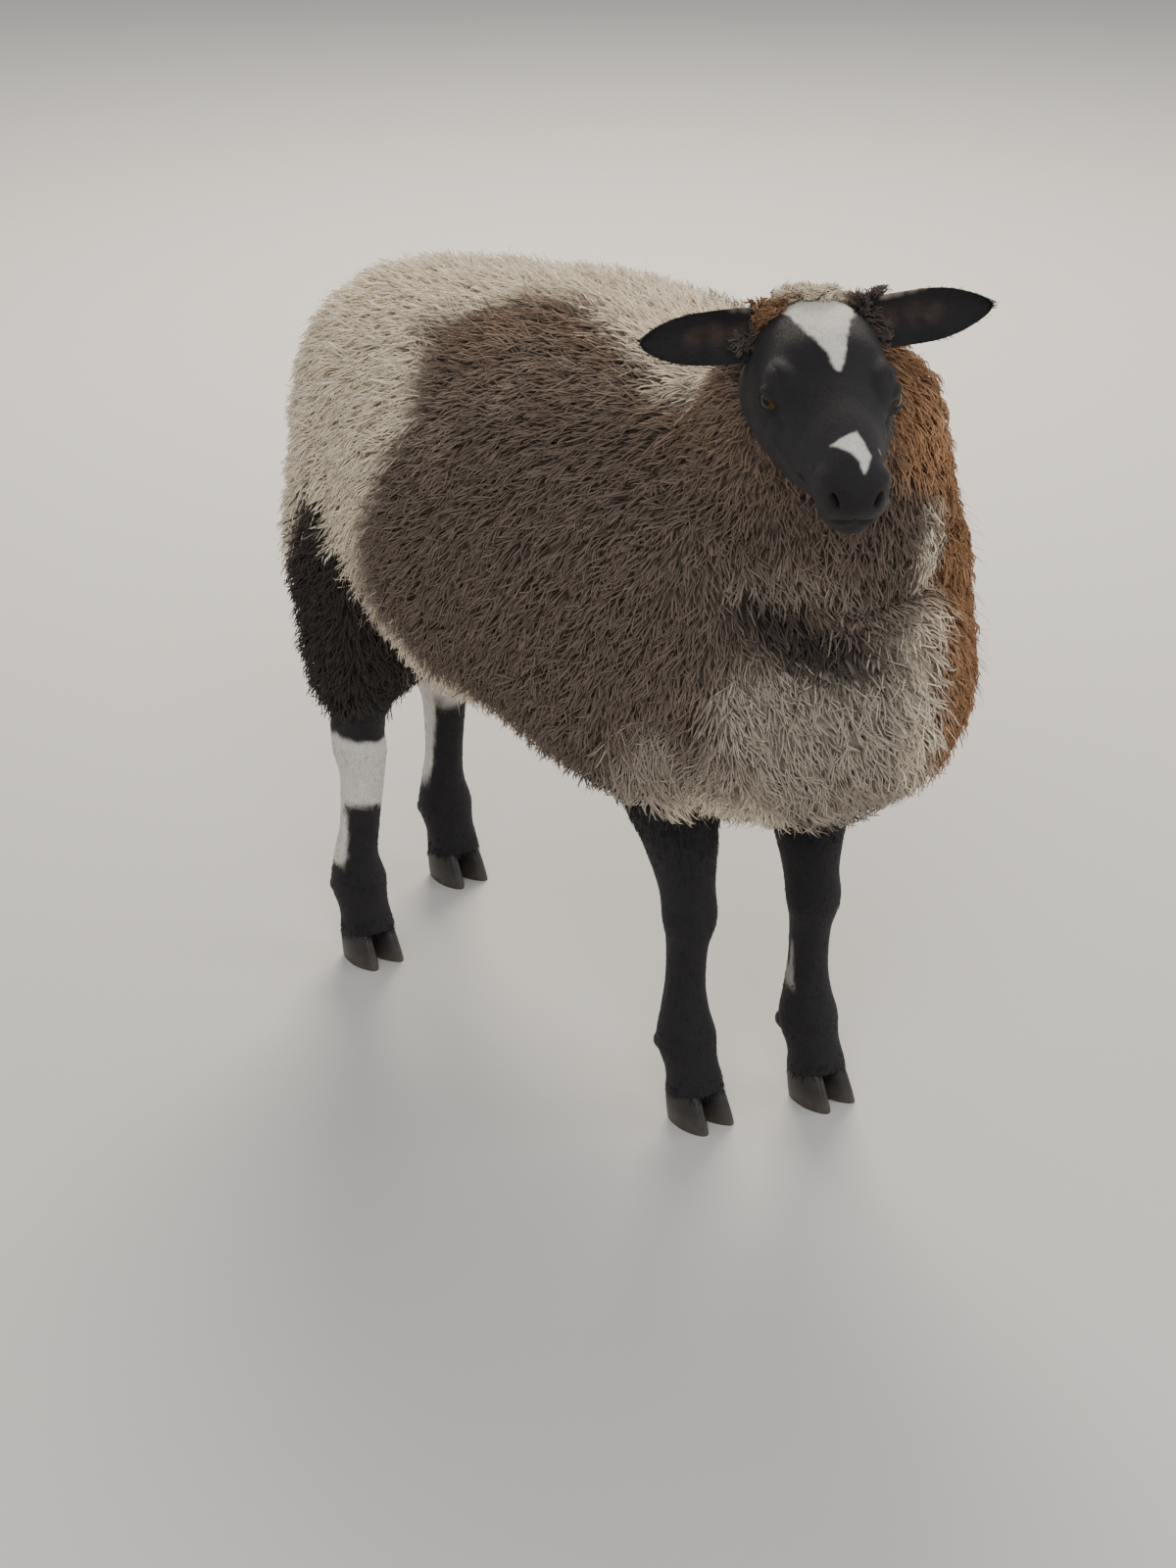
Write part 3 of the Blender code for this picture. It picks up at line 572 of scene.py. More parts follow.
@dataclass
class Build:
    """The driving sizes of the ram, and its smooth forms."""

    wool_depth: float = 0.018
    breech_y: float = 0.425
    chest_y: float = -0.475
    rump_top: float = 0.793
    loin_top: float = 0.81
    withers_top: float = 0.822
    belly_low: float = 0.345
    brisket_low: float = 0.312
    rump_half: float = 0.132
    barrel_half: float = 0.218
    shoulder_half: float = 0.196
    neck_root: Vector = at(0.0, -0.2, 0.6)
    neck_mid: Vector = at(-0.012, -0.333, 0.712)
    neck_head: Vector = at(-0.076, -0.402, 0.808)
    poll: Vector = at(-0.122, -0.452, 0.92)
    head_yaw: float = math.radians(-33.5)
    head_pitch: float = math.radians(19)
    head_roll: float = math.radians(1.5)
    head_length: float = 0.235
    jaw_depth: float = 0.125
    cheek_half: float = 0.06
    muzzle_half: float = 0.032
    muzzle_depth: float = 0.062
    eye_radius: float = 0.015
    eye_place: Vector = at(0.0445, -0.098, -0.03)
    ear_length: dict[Side, float] = pair(0.114, 0.109)
    ear_half_width: float = 0.027
    ear_cup: float = 0.014
    ear_lift: dict[Side, float] = pair(0.17, -0.08)
    ear_root_height: dict[Side, float] = pair(-0.025, -0.034)
    hock_in: dict[Side, float] = pair(-0.002, 0.009)
    hoof_at: dict[tuple[End, Side], Vector] = field(default_factory=lambda: {
        (End.FORE, Side.RIGHT): Vector((-0.059, -0.247, 0)),
        (End.FORE, Side.LEFT): Vector((0.066, -0.292, 0)),
        (End.HIND, Side.RIGHT): Vector((-0.101, 0.252, 0)),
        (End.HIND, Side.LEFT): Vector((0.095, 0.352, 0)),
    })
    knee_height: float = 0.222
    elbow_height: float = 0.415
    hock_height: float = 0.252
    coronet_height: float = 0.042
    fetlock_height: float = 0.088
    claw_length: float = 0.06
    claw_half_width: float = 0.0135
    tail_root: Vector = at(0, 0.388, 0.69)
    tail_length: float = 0.27
    tail_half_width: float = 0.03
    scrotum_y: float = 0.19
    scrotum_radii: tuple[float, float, float] = (0.036, 0.042, 0.052)
    scrotum_low: float = 0.318

    def head_frame(self) -> Matrix:
        """From the head's own frame, nose along -Y and crown up, to the ram's.

        Returns:
            The frame as a matrix.
        """
        yaw = Matrix.Rotation(self.head_yaw, 3, "Z")
        pitch = Matrix.Rotation(self.head_pitch, 3, "X")
        roll = Matrix.Rotation(self.head_roll, 3, "Y")
        return Matrix.Translation(self.poll) @ (yaw @ pitch @ roll).to_4x4()

    def eye(self, side: Side) -> Vector:
        """The middle of an eyeball in the head's own frame."""
        return Vector((side.value * self.eye_place.x, self.eye_place.y, self.eye_place.z))

    def gaze(self, side: Side) -> tuple[Vector, Vector, Vector]:
        """The way an eye looks, with the directions along and across its opening, in the head's own frame.

        Args:
            side: which eye.

        Returns:
            The way it looks, along its opening, and up across it.
        """
        look = Vector((side.value * 0.86, -0.48, 0.16)).normalized()
        up = (Vector((0, 0.1, 1)) - look * look.z).normalized()
        return look, look.cross(up), up

    def trunk(self, shrink: float) -> Loft:
        """Barrel, shoulders and rump, from the breech to the chest.

        Args:
            shrink: how far the skin lies inside the stations.

        Returns:
            The form.
        """
        back, front = self.breech_y, self.chest_y
        middle = (back + front) / 2

        def section(y: float, low: float, high: float, half: float, square: float = 2.15,
                    widest: float = 0.47) -> Station:
            level = low + (high - low) * widest
            return Station((0, y, level), half, high - level, level - low, square)

        return Loft(
            [
                section(back, 0.56, 0.64, 0.04, 2.0),
                section(back - 0.03, 0.49, self.rump_top - 0.095, 0.084, 2.0),
                section(back - 0.105, 0.44, self.rump_top - 0.034, self.rump_half),
                section(back - 0.21, 0.395, self.rump_top, self.rump_half + 0.042),
                section(middle + 0.1, self.belly_low + 0.004, self.loin_top, self.barrel_half - 0.004),
                section(middle - 0.03, self.belly_low - 0.004, self.loin_top + 0.01, self.barrel_half),
                section(middle - 0.16, self.brisket_low + 0.008, self.withers_top, self.barrel_half - 0.004,
                        widest=0.44),
                section(front + 0.19, self.brisket_low, self.withers_top - 0.01, self.shoulder_half, 2.0,
                        0.44),
                section(front + 0.1, self.brisket_low + 0.03, 0.65, self.shoulder_half - 0.03, 1.9, 0.516),
                section(front + 0.04, self.brisket_low + 0.082, 0.622, 0.114, 1.9, 0.446),
                section(front, 0.42, 0.57, 0.06, 2.0),
            ],
            shrink=shrink,
        )

    def neck(self, shrink: float) -> Loft:
        """From inside the trunk up to the back of the head."""
        return Loft(
            [
                Station(self.neck_root, 0.165, 0.165, 0.175),
                Station(self.neck_root.lerp(self.neck_mid, 0.55), 0.146, 0.15, 0.178),
                Station(self.neck_mid, 0.134, 0.134, 0.156),
                Station(self.neck_mid.lerp(self.neck_head, 0.55), 0.124, 0.118, 0.118),
                Station(self.neck_head, 0.102, 0.098, 0.092),
                Station(self.neck_head + Vector((-0.012, -0.022, 0.026)), 0.075, 0.07, 0.062),
            ],
            top=(0, 0.5, 0.85),
            shrink=shrink,
        )

    def thigh(self, side: Side, shrink: float) -> Loft:
        """From the hip down to just above the hock.

        Args:
            side: which thigh.
            shrink: how far the skin lies inside the stations.

        Returns:
            The form.
        """
        hoof = self.hoof_at[End.HIND, side]
        s = side.value
        hock_y = hoof.y + 0.032
        return Loft(
            [
                Station((s * 0.072, 0.225, 0.68), 0.074, 0.08, 0.11),
                Station((s * 0.088, 0.24, 0.58), 0.08, 0.102, 0.13),
                Station((s * 0.094, 0.25 + 0.15 * (hoof.y - 0.3), 0.49), 0.084, 0.116, 0.118),
                Station((s * 0.096, 0.262 + 0.45 * (hoof.y - 0.3), 0.41), 0.074, 0.1, 0.09),
                Station((s * 0.098, hock_y - 0.018, 0.34), 0.056, 0.07, 0.062),
                Station((s * (0.099 - self.hock_in[side]), hock_y - 0.004, 0.29), 0.04, 0.044, 0.043),
            ],
            top=(0, 1, 0),
            shrink=shrink,
        )

    def skull(self, shrink: float = 0.0) -> Loft:
        """The skull with the flesh of the face, from the nape to the nose, in the head's own frame.

        Args:
            shrink: how far the skin lies inside the stations.

        Returns:
            The form.
        """

        def section(along: float, top: float, low: float, half: float, square: float = 2.2) -> Station:
            height = (top - low) / 2
            return Station((0, -along, low + height), half, height, height, square)

        tip, muzzle, low = self.head_length, self.muzzle_half, -self.muzzle_depth
        return Loft(
            [
                section(-0.03, -0.018, -0.09, 0.034, 2.0),
                section(0.0, 0.002, -0.11, self.cheek_half - 0.01),
                section(0.036, 0.012, -self.jaw_depth + 0.004, self.cheek_half),
                section(0.072, 0.014, -self.jaw_depth, self.cheek_half + 0.002),
                section(0.105, 0.009, -self.jaw_depth + 0.01, self.cheek_half - 0.006),
                section(0.138, 0.005, -0.098, 0.043),
                section(0.17, 0.003, -0.081, muzzle + 0.003),
                section(tip - 0.034, -0.001, low - 0.008, muzzle - 0.001),
                section(tip - 0.014, -0.006, low - 0.004, muzzle - 0.001),
                section(tip - 0.001, -0.015, low + 0.004, muzzle - 0.006),
                section(tip + 0.006, -0.026, low + 0.014, muzzle - 0.016, 2.0),
            ],
            shrink=shrink,
        )

    def leg(self, end: End, side: Side) -> Loft:
        """A whole bare leg, from the coronet up into the fleece.

        Args:
            end: fore or hind.
            side: left or right.

        Returns:
            The form.
        """
        hoof = self.hoof_at[end, side]
        x, y = hoof.x, hoof.y
        back = 0.012
        low = [
            Station((x, y + back - 0.002, 0.033), 0.0268, 0.0274, 0.0268, 2.4),
            Station((x, y + back, 0.044), 0.0262, 0.027, 0.0268, 2.2),
            Station((x, y + back + 0.005, 0.062), 0.026, 0.0262, 0.0262),
            Station((x, y + back + 0.012, self.fetlock_height), 0.029, 0.0305, 0.0285),
            Station((x, y + back + 0.015, 0.118), 0.0228, 0.0245, 0.0235),
        ]
        if end is End.FORE:
            knee = self.knee_height
            high = [
                Station((x, y + back + 0.015, 0.15), 0.019, 0.0205, 0.02),
                Station((x, y + back + 0.013, knee - 0.032), 0.02, 0.0215, 0.021),
                Station((x, y + back + 0.01, knee), 0.0265, 0.0265, 0.0265),
                Station((x, y + back + 0.014, knee + 0.034), 0.0265, 0.03, 0.0285),
                Station((x * 1.05, y + back + 0.022, 0.31), 0.035, 0.044, 0.039),
                Station((x * 1.15, y + back + 0.034, 0.36), 0.042, 0.057, 0.048),
                Station((x * 1.25, y + back + 0.045, self.elbow_height), 0.044, 0.06, 0.052),
            ]
        else:
            hock, hock_y = self.hock_height, y + 0.024
            hock_x = x - side.value * self.hock_in[side]
            high = [
                Station(((x + hock_x) / 2, y + back + 0.014, 0.15), 0.0195, 0.0225, 0.0215),
                Station((hock_x, y + back + 0.013, hock - 0.045), 0.0215, 0.0265, 0.025),
                Station((hock_x, hock_y + 0.003, hock - 0.015), 0.026, 0.031, 0.03),
                Station((hock_x, hock_y + 0.004, hock + 0.012), 0.0245, 0.0385, 0.03),
                Station((hock_x * 1.02, hock_y - 0.004, hock + 0.044), 0.0245, 0.03, 0.031),
                Station((hock_x * 1.05, hock_y - 0.02, 0.345), 0.033, 0.042, 0.046),
            ]
        return Loft(low + high, top=(0, 1, 0))

    def tail(self, shrink: float) -> Loft:
        """The tail, hanging down the breech from its root in the rump.

        Args:
            shrink: how far the skin lies inside the stations.

        Returns:
            The form.
        """
        root, back = self.tail_root, self.breech_y
        low = root.z - self.tail_length
        return Loft(
            [
                Station(root + Vector((0, -0.03, 0.022)), 0.02, 0.018),
                Station(root, 0.027, 0.024),
                Station((0, back - 0.002, root.z - 0.065), self.tail_half_width, 0.025),
                Station((0, back + 0.006, root.z - 0.14), self.tail_half_width + 0.002, 0.024),
                Station((0, back - 0.004, low + 0.04), self.tail_half_width - 0.004, 0.02),
                Station((0, back - 0.012, low), 0.012, 0.01),
            ],
            top=(0, 1, 0),
            shrink=shrink,
        )


# Markings


@dataclass(frozen=True)
class Tone:
    """The colour of a tuft at its root and at its tip."""

    root: tuple[float, float, float]
    tip: tuple[float, float, float]


CREAM = Tone((0.74, 0.64, 0.5), (0.93, 0.82, 0.64))
GREY_BROWN = Tone((0.12, 0.088, 0.07), (0.2, 0.15, 0.118))
MID_BROWN = Tone((0.21, 0.168, 0.137), (0.36, 0.295, 0.24))
RUST = Tone((0.21, 0.105, 0.053), (0.45, 0.245, 0.125))
DARK_BROWN = Tone((0.02, 0.016, 0.015), (0.055, 0.041, 0.036))
PALE_CHEST = Tone((0.33, 0.275, 0.225), (0.5, 0.425, 0.345))
BLACK_HAIR = Tone((0.009, 0.008, 0.009), (0.023, 0.021, 0.0235))
EAR_INSIDE = Tone((0.045, 0.028, 0.024), (0.105, 0.068, 0.058))
WHITE_HAIR = Tone((0.58, 0.54, 0.48), (0.8, 0.77, 0.72))


def inside_outline(flat: Array, corners: Array) -> Array:
    """How far flat places lie inside a closed outline, or below 0 outside it.

    Args:
        flat: places in the plane, as rows.
        corners: the outline's corners, in order.

    Returns:
        One distance for each place.
    """
    near = np.full(len(flat), 9.0)
    inside = np.zeros(len(flat), bool)
    for one, two in zip(corners, np.roll(corners, -1, axis=0)):
        way = two - one
        share = np.clip((flat - one) @ way / (way @ way), 0.0, 1.0)
        near = np.minimum(near, np.linalg.norm(flat - one - share[:, None] * way, axis=1))
        crosses = (one[1] > flat[:, 1]) != (two[1] > flat[:, 1])
        at = one[0] + (flat[:, 1] - one[1]) * way[0] / (way[1] if abs(way[1]) > 1e-9 else 1e-9)
        inside ^= crosses & (flat[:, 0] < at)
    return np.where(inside, near, -near)


@dataclass(frozen=True)
class BallPatch:
    """A patch made of a chain of balls (x, y, z, radius), in millimetres in the ram's or the head's frame."""

    tone: Tone
    balls: tuple[tuple[float, float, float, float], ...]
    ragged: float = 0.01
    soft: float = 0.01
    strength: float = 1.0

    def cover(self, points: Array, noise: Array) -> Array:
        """How fully the patch covers each point, from 0 to 1.

        Args:
            points: places, as rows.
            noise: the noise at each, which frays the edge.

        Returns:
            The share at each.
        """
        inside = np.full(len(points), -1.0)
        for x, y, z, radius in np.array(self.balls) / MM:
            inside = np.maximum(inside, radius - np.linalg.norm(points - (x, y, z), axis=1))
        return self.strength * ramp(inside + self.ragged * noise, -self.soft, self.soft)


@dataclass(frozen=True)
class GirthPatch:
    """A patch on the barrel, outlined by millimetres along y and degrees from the right flank, 90 on top."""

    tone: Tone
    outline: tuple[tuple[float, float], ...]
    ragged: float = 0.016
    soft: float = 0.016
    strength: float = 1.0

    AXIS_HEIGHT = 0.6
    GIRTH_RADIUS = 0.19

    def cover(self, points: Array, noise: Array) -> Array:
        """How fully the patch covers each point, from 0 to 1.

        Args:
            points: places, as rows.
            noise: the noise at each, which frays the edge.

        Returns:
            The share at each.
        """
        girth = np.arctan2(points[:, 2] - self.AXIS_HEIGHT, -points[:, 0])
        girth = np.where(girth < -math.pi / 2, girth + math.tau, girth)
        flat = np.stack([points[:, 1], girth * self.GIRTH_RADIUS], axis=1)
        corners = np.array([(y / MM, math.radians(a) * self.GIRTH_RADIUS) for y, a in self.outline])
        inside = inside_outline(flat, corners) + self.ragged * noise
        return self.strength * ramp(inside, -self.soft, self.soft)


@dataclass(frozen=True)
class FacePatch:
    """A patch on the front of the face, outlined by millimetres across and down it."""

    tone: Tone
    outline: tuple[tuple[float, float], ...]
    ragged: float = 0.0028
    soft: float = 0.002
    lowest: float = -0.03

    def cover(self, points: Array, noise: Array) -> Array:
        """How fully the patch covers each point, from 0 to 1.

        Args:
            points: places, as rows.
            noise: the noise at each, which frays the edge.

        Returns:
            The share at each.
        """
        flat = np.stack([points[:, 0], -points[:, 1]], axis=1)
        inside = np.minimum(inside_outline(flat, np.array(self.outline) / MM), points[:, 2] - self.lowest)
        return ramp(inside + self.ragged * noise, -self.soft, self.soft)


class Markings:
    """The ram's pattern, painted in order, the same on its skin and on its coat."""

    def __init__(self, build: Build) -> None:
        """Lays out the patches.

        Args:
            build: the ram's sizes.
        """
        self.build = build
        self.noise = Noise(3)
        self.to_head = np.array(build.head_frame().inverted())
        self.body = [
            GirthPatch(GREY_BROWN, (
                (112, -32), (118, -15), (90, 5), (62, 20), (45, 30), (60, 42), (105, 55), (60, 65), (20, 74),
                (-40, 80), (-130, 72), (-230, 62), (-340, 66), (-470, 70), (-520, 0), (-420, -48),
                (-200, -56), (-50, -52), (40, -44),
            )),
            GirthPatch(GREY_BROWN, (
                (20, 215), (70, 190), (60, 160), (10, 130), (-90, 112), (-240, 108), (-470, 112), (-520, 180),
                (-420, 236), (-200, 232), (-80, 236),
            )),
            GirthPatch(GREY_BROWN, ((330, 132), (300, 168), (225, 160), (235, 134))),
            BallPatch(MID_BROWN, (
                (-104, -33, 781, 14), (-118, -81, 771, 20), (-109, -128, 776, 20), (-145, -69, 745, 20),
                (-109, -184, 767, 18),
            ), 0.012, 0.02, 0.75),
            BallPatch(MID_BROWN, (
                (-195, 120, 545, 22), (-185, 135, 500, 26), (-170, 150, 455, 28),
            ), 0.01, 0.016, 0.85),
            BallPatch(DARK_BROWN, (
                (-168, 246, 572, 10), (-165, 247, 540, 24), (-160, 244, 500, 40), (-150, 240, 455, 66),
                (-120, 245, 405, 86), (-110, 255, 340, 84), (-100, 270, 300, 60),
            ), 0.009),
            BallPatch(DARK_BROWN, (
                (150, 270, 455, 50), (130, 285, 400, 72), (110, 330, 330, 70),
            ), 0.012),
            BallPatch(CREAM, (
                (-196, 74, 478, 13), (-184, 56, 450, 18), (-172, 20, 420, 24), (-160, -20, 398, 24),
                (-158, -70, 392, 20), (-168, -110, 398, 14),
            ), 0.009, 0.009, 0.85),
            BallPatch(PALE_CHEST, (
                (-170, -300, 458, 40), (-165, -265, 425, 42), (-150, -240, 395, 30),
            ), 0.012, 0.012, 0.85),
            BallPatch(PALE_CHEST, (
                (-125, -395, 525, 50), (-100, -425, 490, 60), (-60, -460, 505, 70), (-20, -475, 535, 62),
                (-130, -370, 455, 42), (-80, -425, 440, 60), (-20, -465, 455, 75), (40, -450, 450, 70),
                (0, -430, 400, 60),
            ), 0.014, 0.014),
            # Grey-brown over the throat and up under the jaw: the throat's own darker wool, with painted
            # shadow of the jaw where it reaches up under the head.
            BallPatch(GREY_BROWN, (
                (0, -455, 745, 50), (-40, -460, 720, 55), (10, -450, 690, 55), (-50, -455, 790, 50),
                (-20, -440, 830, 45), (-30, -465, 760, 45), (-60, -445, 680, 50), (40, -430, 650, 40),
                (0, -440, 650, 40),
            ), 0.01, 0.012),
            BallPatch(MID_BROWN, (
                (-133, -380, 645, 18), (-101, -400, 652, 22), (-65, -415, 640, 22), (-45, -430, 615, 22),
                (-10, -455, 600, 26),
            ), 0.01, 0.014, 0.9),
            BallPatch(DARK_BROWN, (
                (-135, -384, 620, 19), (-116, -398, 608, 25), (-96, -412, 592, 27), (-81, -433, 582, 24),
                (-61, -456, 577, 18), (-40, -470, 577, 12),
            ), 0.006, 0.01, 0.9),
            BallPatch(DARK_BROWN, (
                (-40, -390, 372, 34), (0, -370, 352, 36), (-60, -340, 340, 36), (-110, -220, 350, 34),
                (-120, -190, 372, 30), (-75, -235, 335, 50), (-125, -150, 374, 30), (-135, -195, 385, 22),
                (75, -280, 335, 60),
            ), 0.01),
            BallPatch(RUST, (
                (0, -450, 825, 36), (20, -455, 770, 45), (55, -430, 735, 50), (90, -400, 690, 52),
                (122, -385, 635, 46), (135, -385, 585, 48), (110, -420, 565, 54), (88, -446, 545, 48),
                (76, -456, 515, 48), (68, -460, 485, 44), (100, -430, 480, 46), (60, -452, 455, 30),
                (150, -330, 560, 60), (35, -450, 800, 36), (85, -400, 750, 60), (120, -350, 720, 70),
                (45, -445, 735, 42), (100, -415, 605, 50), (20, -430, 840, 45), (60, -390, 830, 55),
                (20, -455, 780, 40), (-8, -460, 800, 32), (-10, -466, 770, 28), (75, -430, 620, 36),
                (58, -455, 590, 36), (45, -475, 555, 36), (36, -480, 520, 36), (34, -478, 488, 36),
                (32, -472, 462, 28), (150, -320, 640, 64),
            ), 0.01, 0.012),
            BallPatch(CREAM, (
                (14, -462, 708, 14), (22, -454, 678, 18), (36, -442, 648, 20), (46, -434, 620, 21),
                (22, -460, 610, 22), (0, -478, 586, 22), (-12, -486, 556, 22), (-17, -488, 526, 22),
                (-18, -488, 498, 21), (-18, -484, 472, 18), (-6, -476, 450, 13),
            ), 0.008, 0.009),
        ]
        self.face = [
            FacePatch(WHITE_HAIR, (
                (-30, -80), (-33, -12), (-34, 10), (-27, 36), (-20.5, 60), (-10, 84), (1, 108), (7, 98),
                (12.5, 74), (18.5, 52), (27.5, 28), (30, 8), (26, -80),
            )),
            FacePatch(WHITE_HAIR, (
                (-17.5, 193.5), (-6, 189.5), (5.5, 183.5), (11, 195), (14.2, 208), (11, 216.5), (6.5, 226),
                (2.5, 215), (-3.5, 207), (-10, 201),
            ), 0.0018, 0.0014),
            # Pale streak down the left side of the muzzle by the nostril: painted highlight of the sunlit
            # rim, drawn as white hair.
            BallPatch(WHITE_HAIR, (
                (29, -195, -10, 4.5), (30, -205, -18, 4.5), (29, -213, -27, 4.5),
            ), 0.0025, 0.002, 0.6),
            BallPatch(WHITE_HAIR, ((-50, -30, 2, 6), (-44, -42, 9, 4)), 0.003, 0.003, 0.6),
            BallPatch(WHITE_HAIR, ((47, -40, 8, 7),), 0.003, 0.003, 0.7),
            BallPatch(EAR_INSIDE, (
                (66, -5, -20, 13), (84, -5, -16, 13), (102, -5, -13, 12), (-66, -5, -36, 13),
                (-84, -5, -38, 13), (-102, -5, -39, 12),
            ), 0.004, 0.006, 0.8),
            # Pale along the upper edges of both ears near their roots: painted highlight of the lit rims,
            # drawn in the pale chest tone.
            BallPatch(PALE_CHEST, (
                (60, -4, 4, 6), (70, -4, 7, 7), (81, -4, 9, 7), (92, -4, 11, 5), (-62, -3, -12, 5),
                (-72, -3, -12, 4),
            ), 0.002, 0.003, 0.85),
        ]

    def head_points(self, points: Array) -> Array:
        """The points in the head's own frame."""
        return points @ self.to_head[:3, :3].T + self.to_head[:3, 3]

    def painted(self, points: Array, patches: Sequence[BallPatch | GirthPatch | FacePatch], base: Tone,
                scale: float) -> tuple[Array, Array]:
        """Root and tip colours after the patches, in order, over a base tone.

        Args:
            points: places, as rows.
            patches: the patches, the lowest first.
            base: the tone below them.
            scale: the size of the noise that frays their edges.

        Returns:
            The root and tip colours, one row each for each place.
        """
        noise = self.noise.layered(points, scale)
        root = np.tile(base.root, (len(points), 1)).astype(float)
        tip = np.tile(base.tip, (len(points), 1)).astype(float)
        for patch in patches:
            share = patch.cover(points, noise)[:, None]
            root = mix(root, np.array(patch.tone.root), share)
            tip = mix(tip, np.array(patch.tone.tip), share)
        return root, tip

    def of_body(self, points: Array) -> tuple[Array, Array]:
        """Root and tip colours of the fleece at each point.

        Args:
            points: places on the body.

        Returns:
            The root and tip colours, one row each for each place.
        """
        root, tip = self.painted(points, self.body, CREAM, 0.034)
        brown = 1.0 - ramp(tip[:, 1], 0.2, 0.34)
        streak = self.noise.layered(points * (1.0, 0.45, 1.0) + 3.1, 0.045)
        high = ramp(points[:, 2], 0.7, 0.8) * brown
        faded = np.clip(high * (0.65 + 0.8 * streak), 0, 1)[:, None]
        tip = mix(tip, np.array(RUST.tip) * (0.86, 0.98, 1.12), faded * 0.62)
        pale = (ramp(self.noise.at(points + 1.7, 0.085), 0.25, 0.75) * brown)[:, None]
        tip = mix(tip, tip * 1.55, pale * ramp(points[:, 2], 0.48, 0.62)[:, None])
        return root, tip

    def of_head(self, points: Array) -> tuple[Array, Array]:
        """Root and tip colours of the short hair of the head."""
        return self.painted(self.head_points(points), self.face, BLACK_HAIR, 0.01)

    def of_leg(self, end: End, side: Side, points: Array) -> tuple[Array, Array]:
        """Root and tip colours of the short hair of one leg.

        Args:
            end: fore or hind.
            side: left or right.
            points: places on the leg.

        Returns:
            The root and tip colours, one row each for each place.
        """
        noise = self.noise.layered(points, 0.018)
        hoof = self.build.hoof_at[end, side]
        x, y, z = (points + 0.009 * noise[:, None]).T
        outward = (x - hoof.x) * side.value
        rear = y - hoof.y - 0.028
        white = np.zeros(len(points))
        if end is End.HIND and side is Side.RIGHT:
            white = ramp(z, 0.172, 0.18) * (1.0 - ramp(z, 0.252, 0.262))
            strip = ramp(z, 0.104, 0.116) * (1.0 - ramp(z, 0.176, 0.184))
            strip *= ramp(rear + 0.5 * outward, -0.003, 0.004)
            knob = 1.0 - ramp(np.hypot(outward - 0.004, z - 0.172) + 30 * np.maximum(0, rear), 0.01, 0.016)
            white = np.maximum(white, strip) * (1.0 - knob)
        elif end is End.HIND:
            strip = ramp(z, 0.112, 0.13) * ramp(rear - 0.5 * outward + 0.1 * (z - 0.16), 0.0, 0.006)
            white = np.maximum(ramp(z, 0.212, 0.232), strip)
        elif side is Side.LEFT:
            edge = (points - hoof) @ (-0.92, 0.39, 0.0) - 0.0109 + 0.0008 * noise
            white = 0.45 * ramp(z, 0.12, 0.134) * (1.0 - ramp(z, 0.166, 0.182)) * ramp(edge, 0.0176, 0.019)
        share = white[:, None]
        root = mix(np.array(BLACK_HAIR.root), np.array(WHITE_HAIR.root), share)
        tip = mix(np.array(BLACK_HAIR.tip), np.array(WHITE_HAIR.tip), share)
        return root, tip


# Node groups that several finishes share, and the finishes


class Nodes:
    """Makes and joins the nodes of one material or shader group."""

    def __init__(self, tree: NodeTree) -> None:
        """Works in the given tree of nodes."""
        self.tree = tree

    def feed(self, socket: NodeSocket, value: object) -> None:
        """Joins a socket to another one, or gives it a number or colour of its own.

        Args:
            socket: the input to feed.
            value: the output that it is joined to, or its number or colour.
        """
        if isinstance(value, NodeSocket):
            self.tree.links.new(value, socket)
        else:
            socket.default_value = value

    def node(self, kind: str, inputs: dict[str | int, object] | None = None, **settings: object) -> Node:
        """Makes a node.

        Args:
            kind: its type, without the words that all shader nodes start with.
            inputs: what feeds its inputs, by name or number.
            settings: its own settings.

        Returns:
            The node.
        """
        made = self.tree.nodes.new(f"ShaderNode{kind}")
        for name, value in settings.items():
            setattr(made, name, value)
        for name, value in (inputs or {}).items():
            self.feed(made.inputs[name], value)
        return made

    def math(self, operation: str, *values: object) -> NodeSocket:
        """What a sum makes of sockets or numbers."""
        return self.node("Math", dict(enumerate(values)), operation=operation).outputs[0]

    def span(self, value: NodeSocket, low: float, high: float) -> NodeSocket:
        """0 where the value is low and 1 where it is high."""
        return self.node("MapRange", {"Value": value, "From Min": low, "From Max": high}).outputs["Result"]

    def mixed(self, share: NodeSocket, one: object, two: object) -> NodeSocket:
        """The first colour where the share is 0 and the second where it is 1."""
        return self.node("Mix", {"Factor": share, "A": one, "B": two}, data_type="RGBA").outputs["Result"]

    def noise(self, place: NodeSocket, scale: object, detail: float, roughness: float = 0.5) -> NodeSocket:
        """Noise from 0 to 1 at a place."""
        inputs = {"Vector": place, "Scale": scale, "Detail": detail, "Roughness": roughness}
        return self.node("TexNoise", inputs).outputs["Fac"]

    def shade(self, noise: NodeSocket, depth: NodeSocket, middle: object) -> NodeSocket:
        """A middle value that noise makes lighter and darker."""
        return self.math("MULTIPLY_ADD", self.math("SUBTRACT", noise, 0.5), depth, middle)

    def place(self) -> NodeSocket:
        """The place on the object."""
        return self.node("TexCoord").outputs["Object"]


def start_group(name: str, inputs: dict[str, object], outputs: dict[str, str]) -> tuple[Nodes, Node, Node]:
    """Starts a shader group.

    Args:
        name: its name.
        inputs: the default of each input, None for a vector.
        outputs: the type of each output.

    Returns:
        Its maker of nodes, and its input and output nodes.
    """
    tree = bpy.data.node_groups.new(name, "ShaderNodeTree")
    for label, default in inputs.items():
        kind = "Vector" if default is None else "Color" if isinstance(default, tuple) else "Float"
        socket = tree.interface.new_socket(name=label, in_out="INPUT", socket_type=f"NodeSocket{kind}")
        if default is not None:
            socket.default_value = default
    for label, kind in outputs.items():
        tree.interface.new_socket(name=label, in_out="OUTPUT", socket_type=f"NodeSocket{kind}")
    return Nodes(tree), tree.nodes.new("NodeGroupInput"), tree.nodes.new("NodeGroupOutput")


